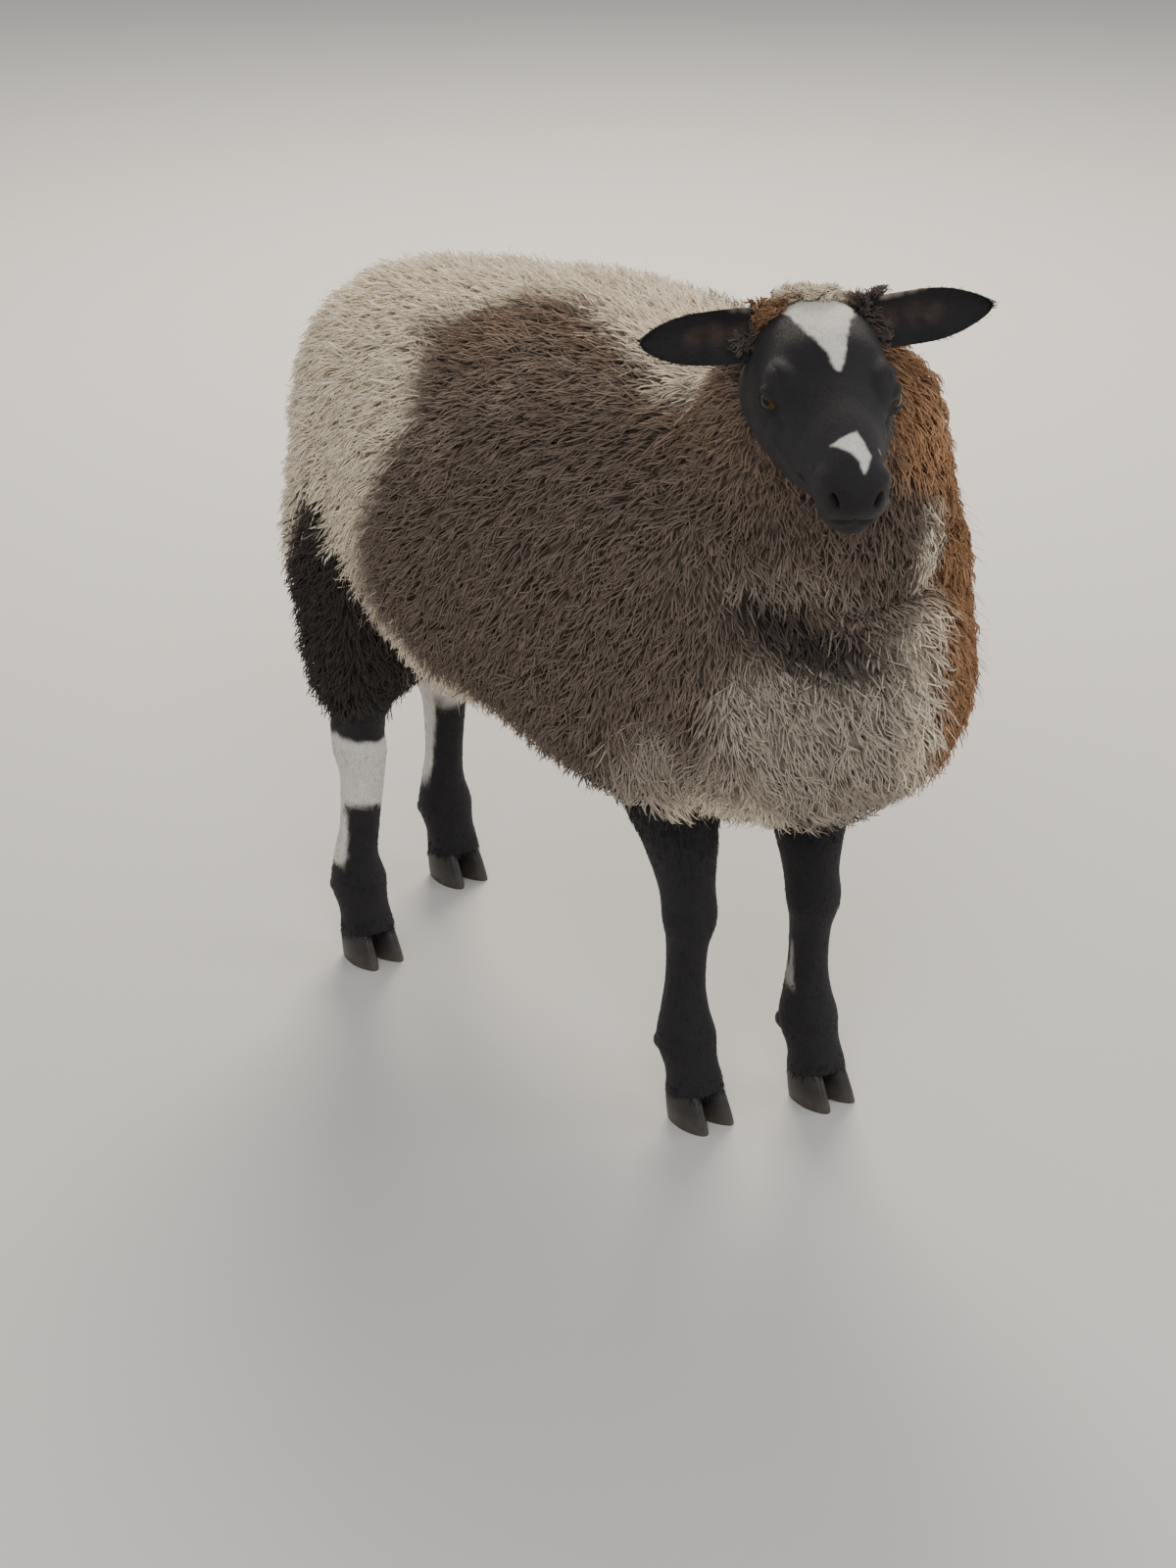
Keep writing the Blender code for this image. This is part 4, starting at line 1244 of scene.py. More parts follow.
def hair_grain_group() -> NodeTree:
    """Fine hairs as a height and a shade, from noise drawn out along the second axis of its coordinates.

    Returns:
        The group.
    """
    inputs = {"Vector": None, "Fineness": 900.0, "Shade Depth": 0.25}
    nodes, start, end = start_group("hair_grain", inputs, {"Height": "Float", "Shade": "Float"})
    height = nodes.noise(start.outputs["Vector"], start.outputs["Fineness"], 3.0, 0.6)
    nodes.feed(end.inputs["Height"], height)
    nodes.feed(end.inputs["Shade"], nodes.shade(height, start.outputs["Shade Depth"], 1.0))
    return nodes.tree


def mottle_group() -> NodeTree:
    """A colour with soft, uneven light and dark over it.

    Returns:
        The group.
    """
    inputs = {"Color": (1, 1, 1, 1), "Scale": 30.0, "Amount": 0.2, "Shade": 1.0}
    nodes, start, end = start_group("mottle", inputs, {"Color": "Color"})
    given = start.outputs
    shade = nodes.shade(nodes.noise(nodes.place(), given["Scale"], 4.0), given["Amount"], given["Shade"])
    tinted = nodes.node("VectorMath", {0: given["Color"], "Scale": shade}, operation="SCALE")
    nodes.feed(end.inputs["Color"], tinted.outputs[0])
    return nodes.tree


class Effects:
    """The shared node groups, each built once."""

    def __init__(self) -> None:
        """Builds the groups."""
        self.grain = hair_grain_group()
        self.mottle = mottle_group()


class Finish(Nodes):
    """A material, with the shared effects that it uses."""

    def __init__(self, name: str, effects: Effects) -> None:
        """Makes an empty material.

        Args:
            name: the material's name.
            effects: the shared node groups.
        """
        self.material = bpy.data.materials.new(name)
        self.material.use_nodes = True
        super().__init__(self.material.node_tree)
        self.effects = effects
        self.shader = self.tree.nodes["Principled BSDF"]

    def attribute(self, name: str, output: str) -> NodeSocket:
        """What an attribute of the mesh says."""
        return self.node("Attribute", attribute_name=name).outputs[output]

    def mottled(self, colour: NodeSocket, scale: float, amount: float, shade: object = 1.0) -> NodeSocket:
        """A colour with soft light and dark over it."""
        inputs = {"Color": colour, "Scale": scale, "Amount": amount, "Shade": shade}
        return self.node("Group", inputs, node_tree=self.effects.mottle).outputs["Color"]

    def bump(self, height: NodeSocket, distance: float, strength: float) -> None:
        """Feeds a height to the shader's normal."""
        made = self.node("Bump", {"Distance": distance, "Strength": strength, "Height": height})
        self.feed(self.shader.inputs["Normal"], made.outputs[0])

    def set(self, **values: object) -> None:
        """Sets or joins the shader's own sockets, named with _ for a space."""
        for name, value in values.items():
            self.feed(self.shader.inputs[name.replace("_", " ")], value)

    def lay_coat(self, fineness: float, depth: float, scale: float, amount: float) -> NodeSocket:
        """Gives the surface the coat's painted colours, with fine hairs and mottling on them.

        Args:
            fineness: how many hairs there are to a unit of the grain.
            depth: how strongly they shade the colour.
            scale: how many mottles there are to a metre.
            amount: how strong they are.

        Returns:
            The height of the hairs.
        """
        inputs = {"Vector": self.attribute("grain", "Vector"), "Fineness": fineness, "Shade Depth": depth}
        lines = self.node("Group", inputs, node_tree=self.effects.grain).outputs
        self.set(Base_Color=self.mottled(self.attribute("coat", "Color"), scale, amount, lines["Shade"]))
        return lines["Height"]


@dataclass(frozen=True)
class TuftFinish:
    """Wool or hair: the coat's colours with fine lines along each tuft and a soft sheen."""

    name: str
    roughness: float
    sheen: float
    fineness: float = 3.2
    shade_depth: float = 0.5
    relief: float = 0.0004

    def material(self, effects: Effects) -> Material:
        """The material of a coat piece.

        Args:
            effects: the shared node groups.

        Returns:
            The material.
        """
        made = Finish(self.name, effects)
        made.bump(made.lay_coat(self.fineness, self.shade_depth, 55.0, 0.25), self.relief, 0.8)
        made.set(Sheen_Weight=self.sheen, Sheen_Roughness=0.45, Roughness=self.roughness)
        made.set(Specular_IOR_Level=0.15)
        return made.material


@dataclass(frozen=True)
class HideFinish:
    """The skin: short flat hair as fine bump on the bare parts, and matted undercoat below the fleece."""

    name: str = "hide"
    roughness: float = 0.62
    bare_roughness: float = 0.38

    def material(self, effects: Effects) -> Material:
        """The material of the skin.

        Args:
            effects: the shared node groups.

        Returns:
            The material.
        """
        made = Finish(self.name, effects)
        made.bump(made.lay_coat(1300.0, 1.1, 70.0, 0.35), 0.0014, 1.0)
        bare = made.attribute("bare_skin", "Fac")
        inputs = {"Value": bare, "To Min": self.roughness, "To Max": self.bare_roughness}
        gloss = made.node("MapRange", inputs)
        made.set(Roughness=gloss.outputs["Result"])
        made.set(Sheen_Weight=0.03, Sheen_Roughness=0.4, Specular_IOR_Level=0.2)
        return made.material


@dataclass(frozen=True)
class HornFinish:
    """Dark claw horn with growth rings and dried dust low down."""

    name: str = "claw_horn"
    colour: tuple[float, float, float] = (0.017, 0.014, 0.013)
    dust: tuple[float, float, float] = (0.1, 0.082, 0.062)
    dust_height: float = 0.02
    ring_spacing: float = 0.0032

    def material(self, effects: Effects) -> Material:
        """The material of the claws.

        Args:
            effects: the shared node groups.

        Returns:
            The material.
        """
        made = Finish(self.name, effects)
        place = made.place()
        waves = {"Vector": place, "Scale": 0.31 / self.ring_spacing, "Distortion": 6.0, "Detail": 3.0}
        rings = made.node("TexWave", waves, bands_direction="Z")
        height = made.node("SeparateXYZ", {0: place}).outputs["Z"]
        dusty = made.math("MULTIPLY", made.span(height, self.dust_height, 0.0), made.noise(place, 160.0, 5.0))
        made.bump(rings.outputs["Fac"], 0.0002, 0.25)
        made.set(Base_Color=made.mottled(made.mixed(dusty, (*self.colour, 1), (*self.dust, 1)), 90.0, 0.5))
        made.set(Roughness=0.46, Specular_IOR_Level=0.5)
        return made.material


@dataclass(frozen=True)
class EyeFinish:
    """A ram's eye: brown iris, level slot of a pupil, dark rim and a wet surface."""

    name: str = "eye"
    iris_radius: float = 0.0116
    pupil_half_length: float = 0.0054
    pupil_half_height: float = 0.0022
    iris: tuple[float, float, float] = (0.07, 0.034, 0.012)
    iris_dark: tuple[float, float, float] = (0.018, 0.009, 0.005)
    rim: tuple[float, float, float] = (0.02, 0.014, 0.012)
    pupil: tuple[float, float, float] = (0.004, 0.004, 0.006)

    def material(self, effects: Effects) -> Material:
        """The material of the eyeball, whose own frame has z along the gaze and x along the opening.

        Args:
            effects: the shared node groups.

        Returns:
            The material.
        """
        made = Finish(self.name, effects)
        place, math_of = made.place(), made.math
        split = made.node("SeparateXYZ", {0: place})
        x, y = split.outputs["X"], split.outputs["Y"]
        from_axis = math_of("SQRT", math_of("ADD", math_of("MULTIPLY", x, x), math_of("MULTIPLY", y, y)))
        in_iris = made.span(from_axis, self.iris_radius + 0.0005, self.iris_radius - 0.0006)
        long_way = math_of("POWER", math_of("ABSOLUTE", math_of("DIVIDE", x, self.pupil_half_length)), 4.0)
        short_way = math_of("POWER", math_of("ABSOLUTE", math_of("DIVIDE", y, self.pupil_half_height)), 2.4)
        in_pupil = made.span(math_of("ADD", long_way, short_way), 1.25, 0.85)
        iris = made.mixed(made.noise(place, 420.0, 4.0), (*self.iris_dark, 1), (*self.iris, 1))
        whole = made.mixed(in_iris, (*self.rim, 1), iris)
        made.set(Base_Color=made.mixed(in_pupil, whole, (*self.pupil, 1)))
        made.set(Roughness=0.07, Specular_IOR_Level=0.2)
        return made.material


# The skin


@dataclass
class SkinPart:
    """A part of the skin before the parts are joined, kept for planting the coat."""

    points: Array
    normals: Array
    faces: Array
    tree: BVHTree

    @classmethod
    def read(cls, made: Object) -> SkinPart:
        """Reads a part.

        Args:
            made: its object.

        Returns:
            The part.
        """
        points, normals = read_points(made)
        data = made.data
        data.calc_loop_triangles()
        faces = np.empty(len(data.loop_triangles) * 3, np.int32)
        data.loop_triangles.foreach_get("vertices", faces)
        return cls(points, normals, faces.reshape(-1, 3), tree_of(made))


@dataclass
class Skin:
    """One skin over the whole ram, below the coat's depth where it is woolly."""

    build: Build
    markings: Markings
    body_voxel: float = 0.006
    head_voxel: float = 0.0016
    rough_head_voxel: float = 0.0022
    lumps: float = 0.0032
    lump_scale: float = 0.075
    leg_flesh: float = 0.001
    tail_depth: float = 0.01
    paint_reach: float = 0.0012
    parts: dict[str, SkinPart] = field(default_factory=dict)

    def body_core(self) -> Object:
        """Trunk, neck and thighs under the fleece, with its soft lumps.

        Returns:
            The object.
        """
        build, depth = self.build, self.build.wool_depth
        made = build.trunk(depth).mesh("skin", 60, 64)
        pieces = [build.neck(depth).mesh("neck_core", 24, 40)]
        for side in Side:
            pieces.append(build.thigh(side, depth * 0.8).mesh("thigh_core", 28, 32))
        combine(made, pieces)
        even_out(made, self.body_voxel, 14)
        points, normals = read_points(made)
        noise = Noise(11)
        swell = noise.at(points, self.lump_scale) + 0.45 * noise.at(points + 5.0, self.lump_scale * 0.42)
        write_points(made, points + normals * (swell * self.lumps)[:, None])
        return made

    def lids(self, side: Side) -> Object:
        """The two lids of an eye, as a fold round an almond-shaped opening.

        Args:
            side: which eye.

        Returns:
            The object, in the head's own frame.
        """
        look, along, up = self.build.gaze(side)
        radius = self.build.eye_radius
        rounds, sides = 56, 14
        points = []
        for k in range(rounds):
            a = math.tau * k / rounds
            x = math.cos(a) * 0.0134
            z = math.sin(a) * (0.008 if a < math.pi else 0.0076) * (1.0 - 0.2 * math.cos(a) ** 2)
            deep = math.sqrt(max(0.0, radius**2 - x * x - z * z))
            place = self.build.eye(side) + look * (deep + 0.0003) + along * x + up * z
            outward = (along * x + up * z).normalized()
            thick = 0.0034 * (1.0 + 0.35 * max(0.0, math.sin(a)))
            for m in range(sides):
                b = math.tau * m / sides
                wide, deep = math.cos(b) * thick * 1.15, math.sin(b) * thick * 0.85
                points.append(place + outward * wide + look * deep)
        return solid("lids", np.array(points), ring_faces(rounds, sides, closed=True))

    def nostril(self, side: Side) -> Object:
        """The hollow of one nostril, slanting down and in towards the lip.

        Args:
            side: which nostril.

        Returns:
            The object, in the head's own frame.
        """
        s = side.value
        turn = Matrix.Rotation(s * math.radians(38), 3, "Z") @ Matrix.Rotation(s * math.radians(34), 3, "Y")
        place = (s * 0.0158, 0.001 - self.build.head_length, -0.027)
        return ball("nostril", place, (0.0025, 0.012, 0.0086), turn)

    def head(self) -> Object:
        """The head with its bones, lids, nostrils and lips, in its own frame.

        Returns:
            The object.
        """
        build = self.build
        tip = build.head_length
        made = build.skull().mesh("head", 90, 64)
        pieces = []
        for side in Side:
            s = side.value
            turn = Matrix.Rotation(s * math.radians(-14), 3, "Z")
            pieces.append(ball("cheek", (s * 0.04, -0.04, -0.076), (0.022, 0.046, 0.036), turn))
            pieces.append(ball("orbit", (s * 0.038, -0.094, -0.023), (0.0185, 0.033, 0.024), turn))
            pieces.append(ball("wing", (s * 0.0175, 0.018 - tip, -0.024), (0.013, 0.022, 0.013), turn))
        pieces.append(ball("chin", (0, 0.026 - tip, -0.059), (0.0235, 0.029, 0.0145)))
        combine(made, pieces)
        even_out(made, self.rough_head_voxel, 16)
        combine(made, [self.nostril(side) for side in Side], "DIFFERENCE")
        combine(made, [self.lids(side) for side in Side])
        even_out(made, self.head_voxel, 3)
        self.carve_face(made)
        return made

    def carve_face(self, made: Object) -> None:
        """Shapes the bones, folds and lips of the face with soft brushes.

        Args:
            made: the head.
        """
        tip = self.build.head_length
        tool = Sculptor(made)
        ridge = [(0, -0.06, 0.012), (0, -0.13, 0.006), (0, -0.19, 0.002)]
        tool.stroke(ridge, 0.012, 0.0015, False)
        tool.push((0.026, -0.15, -0.024), 0.018, -0.0028)
        tool.push((0.03, -0.185, -0.04), 0.014, -0.0016)
        cheek_edge = [(0.048, -0.108, -0.058), (0.043, -0.135, -0.06), (0.036, -0.16, -0.058)]
        tool.stroke(cheek_edge, 0.006, 0.0022)
        tool.push((0.044, -0.124, -0.037), 0.0075, -0.003)
        tool.push((0.055, -0.056, -0.018), 0.02, -0.0026)
        tool.push((0.0, -0.07, 0.014), 0.022, 0.0025, False)
        tool.push((0.046, -0.1, -0.104), 0.018, -0.004)
        tool.push((0.038, -0.13, -0.08), 0.016, -0.002)
        for fold, width, amount in (
            ([(0.052, -0.075, -0.008), (0.05, -0.092, -0.002), (0.045, -0.11, -0.006)], 0.0022, -0.0014),
            ([(0.057, -0.078, -0.048), (0.055, -0.095, -0.053), (0.048, -0.112, -0.05)], 0.002, -0.0014),
            ([(0.046, -0.113, -0.034), (0.041, -0.124, -0.042), (0.037, -0.134, -0.047)], 0.0018, -0.0013),
        ):
            tool.stroke(fold, width, amount)
        lip = [(0.0015, -tip - 0.006, -0.0475), (0.014, -tip, -0.049), (0.026, -tip + 0.014, -0.0515),
               (0.031, -tip + 0.036, -0.0535), (0.033, -tip + 0.062, -0.056), (0.036, -tip + 0.08, -0.06)]
        tool.stroke(lip, 0.002, -0.0036)
        tool.stroke([(x, y, z - 0.006) for x, y, z in lip[:4]], 0.004, 0.0016)
        groove = [(0, -tip + 0.001, -0.02), (0, -tip - 0.004, -0.032), (0, -tip - 0.005, -0.045)]
        tool.stroke(groove, 0.0016, -0.0022, False)
        rim = [(0.012, -tip + 0.006, -0.017), (0.024, -tip + 0.014, -0.019), (0.03, -tip + 0.026, -0.026)]
        tool.stroke(rim, 0.004, 0.0016)
        wing = [(0.02, -tip + 0.03, -0.016), (0.031, -tip + 0.036, -0.026), (0.032, -tip + 0.04, -0.038)]
        tool.stroke(wing, 0.0035, -0.0015)
        tool.done()

    def ear(self, side: Side) -> Object:
        """A leaf-shaped, cupped ear, from its root inside the head out to its tip, in the head's own frame.

        Args:
            side: which ear.

        Returns:
            The object.
        """
        build, s = self.build, side.value
        steps, across = 44, 20
        root = Vector((s * 0.042, 0.004, build.ear_root_height[side]))
        out = Vector((s * 0.96, -0.03, build.ear_lift[side])).normalized()
        face = Vector((s * 0.1, -0.97, 0.18))
        face = (face - out * face.dot(out)).normalized()
        wide = out.cross(face)
        fronts, backs = [], []
        for i in range(steps + 1):
            t = i / steps
            half = build.ear_half_width * max(0.03, math.sin(math.pi * (0.16 + 0.84 * t) ** 0.85) ** 0.52)
            cup = build.ear_cup * (1.0 - 0.55 * t)
            thick = 0.0034 * (1.0 - 0.45 * t) / 2 + 0.0085 * max(0.0, 1.0 - t / 0.42) ** 2
            for k in range(across + 1):
                u = math.sin((k / across - 0.5) * math.pi)
                curl = cup * (u * u - 0.5) + 0.0016 * math.sin(9 * t + 2.0 * s) * u
                middle = root + out * (t * build.ear_length[side]) + wide * (u * half) + face * curl
                edge = thick * (math.sqrt(max(0.0, 1 - u**4)) * 0.85 + 0.15)
                fronts.append(middle + face * edge)
                backs.append(middle - face * edge)
        row, count = across + 1, len(fronts)
        faces = []
        for i in range(steps):
            for k in range(across):
                a, b, c, d = i * row + k, i * row + k + 1, (i + 1) * row + k + 1, (i + 1) * row + k
                faces.append((a, b, c, d))
                faces.append((count + a, count + d, count + c, count + b))
            for k in (0, across):
                a, d = i * row + k, (i + 1) * row + k
                faces.append((a, d, count + d, count + a))
        for i in (0, steps):
            for k in range(across):
                a, b = i * row + k, i * row + k + 1
                faces.append((a, b, count + b, count + a))
        return solid(f"ear_{side.word}", np.array(fronts + backs), faces)

    def leg(self, end: End, side: Side) -> Object:
        """A whole bare leg with its joints and tendons.

        Args:
            end: fore or hind.
            side: left or right.

        Returns:
            The object.
        """
        hoof = self.build.hoof_at[end, side]
        made = self.build.leg(end, side).mesh(f"{end.value}leg_{side.word}", 120, 40, self.leg_flesh)
        tool = Sculptor(made)
        x, y = hoof.x, hoof.y + 0.028
        for s in (1, -1):
            cannon = [(x + s * 0.017, y + 0.009, 0.118), (x + s * 0.017, y + 0.01, 0.16),
                      (x + s * 0.018, y + 0.008, 0.2)]
            tool.stroke(cannon, 0.0045, -0.0016, False)
            tool.push((x + s * 0.02, y - 0.002, self.build.fetlock_height), 0.011, 0.0014, False)
            if end is End.FORE:
                tool.push((x + s * 0.022, y - 0.01, self.build.knee_height - 0.008), 0.01, 0.0018, False)
            else:
                tool.push((x + s * 0.02, y + 0.01, self.build.hock_height - 0.006), 0.01, 0.002, False)
                tool.push((x + s * 0.019, y + 0.03, self.build.hock_height + 0.04), 0.012, -0.004, False)
        if end is End.FORE:
            tool.push((x, y - 0.024, self.build.knee_height + 0.006), 0.014, 0.002, False)
        tool.push((x, y - 0.018, 0.07), 0.012, -0.001, False)
        return tool.done()

    def scrotum(self) -> Object:
        """The scrotum, hanging between the thighs.

        Returns:
            The object.
        """
        build = self.build
        radii = [r - 0.006 for r in build.scrotum_radii]
        made = ball("scrotum", (0, build.scrotum_y, build.scrotum_low + build.scrotum_radii[2]), radii)
        tool = Sculptor(made)
        y, low = build.scrotum_y, build.scrotum_low
        middle = [(0, y - 0.03, low + 0.03), (0, y, low + 0.004), (0, y + 0.03, low + 0.03)]
        tool.stroke(middle, 0.01, -0.004, False)
        return tool.done()

    def keep(self, made: Object, name: str) -> Object:
        """Keeps a part's shape for the coat."""
        self.parts[name] = SkinPart.read(made)
        return made

    def make(self) -> Object:
        """Builds each part, keeps its shape for the coat, and joins them all into one closed skin.

        Returns:
            The skin.
        """
        made = self.keep(self.body_core(), "body")
        on_head = {"head": self.head(), **{f"ear_{side.word}": self.ear(side) for side in Side}}
        for piece in on_head.values():
            piece.data.transform(self.build.head_frame())
        pieces = [self.keep(piece, name) for name, piece in on_head.items()]
        for end, side in self.build.hoof_at:
            pieces.append(self.keep(self.leg(end, side), f"{end.value}leg_{side.word}"))
        pieces.append(self.keep(self.build.tail(self.tail_depth).mesh("tail_core", 40, 24), "tail"))
        pieces.append(self.keep(self.scrotum(), "scrotum"))
        combine(made, pieces)
        made.name = "skin"
        self.paint(made)
        made.data.shade_smooth()
        return made

    def paint(self, made: Object) -> None:
        """Writes the skin's colours, its lie of hair and where it is hairless, as attributes.

        Args:
            made: the skin.
        """
        points, _ = read_points(made)
        home = np.full(len(points), -1)
        nearest = np.full(len(points), self.paint_reach)
        names = list(self.parts)
        for row, point in enumerate(points):
            place = Vector(point)
            for k, name in enumerate(names):
                _, _, _, far = self.parts[name].tree.find_nearest(place, nearest[row])
                if far is not None and far < nearest[row]:
                    nearest[row], home[row] = far, k
        colours = np.ones((len(points), 4))
        root, tip = self.markings.of_body(points)
        colours[:, :3] = mix(root, tip, 0.3)
        grain = points * (1.0, 1.0, 0.12)
        bare = np.zeros(len(points))
        for k, name in enumerate(names):
            here = home == k
            if name == "head" or name.startswith("ear"):
                root, tip = self.markings.of_head(points[here])
                local = self.markings.head_points(points[here])
                colours[here, :3] = (root + tip) / 2
                grain[here] = local * ((1.0, 0.12, 1.0) if name == "head" else (0.12, 1.0, 1.0))
                if name == "head":
                    bare[here] = self.hairless(local)
                    colours[here, :3] *= mix(np.ones(3), np.array([0.75, 0.62, 0.62]), bare[here][:, None])
            elif "leg_" in name:
                end = End.FORE if name.startswith("fore") else End.HIND
                side = Side.LEFT if name.endswith("left") else Side.RIGHT
                root, tip = self.markings.of_leg(end, side, points[here])
                colours[here, :3] = (root + tip) / 2
        write_attribute(made.data, "coat", "FLOAT_COLOR", colours)
        write_attribute(made.data, "grain", "FLOAT_VECTOR", grain)
        write_attribute(made.data, "bare_skin", "FLOAT", bare)

    def hairless(self, local: Array) -> Array:
        """How bare the skin is round the nostrils, lips and lids, from 0 to 1, in the head's own frame.

        Args:
            local: places in the head's own frame.

        Returns:
            One share for each.
        """
        tip = self.build.head_length
        nose = 1.0 - ramp(np.linalg.norm((np.abs(local) - (0.013, tip + 0.004, 0.032)), axis=1), 0.013, 0.02)
        bare = nose
        for side in Side:
            look, along, up = self.build.gaze(side)
            offset = local - np.array(self.build.eye(side))
            x, z, depth = offset @ np.array(along), offset @ np.array(up), offset @ np.array(look)
            from_rim = np.abs(np.hypot(x / 0.014, z / 0.0093) - 0.93)
            rim = (1.0 - ramp(from_rim, 0.1, 0.26)) * (depth > 0.004)
            bare = np.maximum(bare, rim)
        return bare


# The coat


@dataclass(frozen=True)
class TuftStyle:
    """How the tufts of one kind of coat are made, in metres. They rise in degrees from the skin's normal."""

    length: float
    width: float
    along: tuple[float, ...]
    rise: tuple[float, float]
    curl: float = 0.0
    waves: float = 1.0
    gather: float = 0.0
    spacing: float = 0.01
    stray: float = 0.12
    flat: float = 0.75
    vary: float = 0.16


CURLED = (0, 0.3, 0.5, 0.68, 0.85, 1)
STYLES = {
    Coat.UNDERCOAT: TuftStyle(0.027, 0.0034, (0, 0.55, 1), (30, 96), gather=0.15, stray=0.25),
    Coat.FLEECE: TuftStyle(
        0.033, 0.002, (0, 0.42, 0.84, 1), (20, 86), 0.002, 1.1, 0.42, 0.009, 0.34, vary=0.1
    ),
    Coat.CHEST: TuftStyle(
        0.041, 0.0018, (0, 0.32, 0.6, 0.88, 1), (32, 96), 0.0026, 1.4, 0.56, 0.012, 0.22, vary=0.12
    ),
    Coat.CURLY: TuftStyle(0.03, 0.0021, CURLED, (0, 112), 0.0032, 1.5, 0.7, 0.01, 0.25),
    Coat.TOPKNOT: TuftStyle(0.021, 0.0017, CURLED, (6, 92), 0.0028, 1.7, 0.6, 0.008, 0.4),
    Coat.FUZZ: TuftStyle(0.037, 0.0006, (0, 0.45, 0.75, 1), (12, 74), 0.001, 1.0, 0.1, 0.012, 0.4),
    Coat.HAIR: TuftStyle(0.0066, 0.00065, (0, 0.55, 1), (68, 86), stray=0.14, vary=0.45),
    Coat.LEG_HAIR: TuftStyle(0.0085, 0.0007, (0, 0.5, 1), (68, 87), stray=0.14, vary=0.4),
}


@dataclass
class Roots:
    """Where tufts grow: places, normals, the way they lean, and their size and colours."""

    places: Array
    normals: Array
    lean: Array
    scale: Array
    root_colour: Array
    tip_colour: Array
    unwrap: Array

    def chosen(self, keep: Array) -> Roots:
        """Only the rows to keep."""
        return Roots(*(getattr(self, name)[keep] for name in self.__dataclass_fields__))


def scatter(part: SkinPart, count: int, draw: np.random.Generator) -> tuple[Array, Array]:
    """Random places spread evenly over a part of the skin, with their normals.

    Args:
        part: the part of the skin.
        count: how many places.
        draw: the source of random numbers.

    Returns:
        The places and their normals.
    """
    corners = part.points[part.faces]
    area = np.linalg.norm(np.cross(corners[:, 1] - corners[:, 0], corners[:, 2] - corners[:, 0]), axis=1)
    chosen = np.searchsorted(np.cumsum(area) / area.sum(), draw.uniform(size=count))
    chosen = np.minimum(chosen, len(area) - 1)
    a, b = draw.uniform(size=(2, count))
    flip = a + b > 1
    a, b = np.where(flip, 1 - a, a), np.where(flip, 1 - b, b)
    share = np.stack([1 - a - b, a, b], axis=1)[:, :, None]
    places = (corners[chosen] * share).sum(axis=1)
    return places, unit((part.normals[part.faces[chosen]] * share).sum(axis=1))


def outside(places: Array, trees: Sequence[BVHTree], margin: float) -> Array:
    """Which places lie outside all the forms, or less than the margin inside one."""
    return np.array([all(depth_in(tree, p) < margin for tree in trees) for p in places])


def lie_of_fleece(places: Array, normals: Array, noise: Noise) -> Array:
    """The way the wool leans: back along the top, down the sides and the chest, and swirling a little.

    Args:
        places: where the wool grows.
        normals: the skin's normals there.
        noise: what makes it swirl.

    Returns:
        One direction for each place.
    """
    swirl = np.stack([noise.at(places + 2.0 * k, 0.16) for k in range(3)], axis=1)
    facing_front = ramp(-normals[:, 1], 0.05, 0.6)
    back = mix(0.62, -0.4, facing_front)
    wish = np.stack([np.zeros(len(places)), back, -np.ones(len(places))], axis=1) + 0.2 * swirl
    return along_skin(wish, normals)


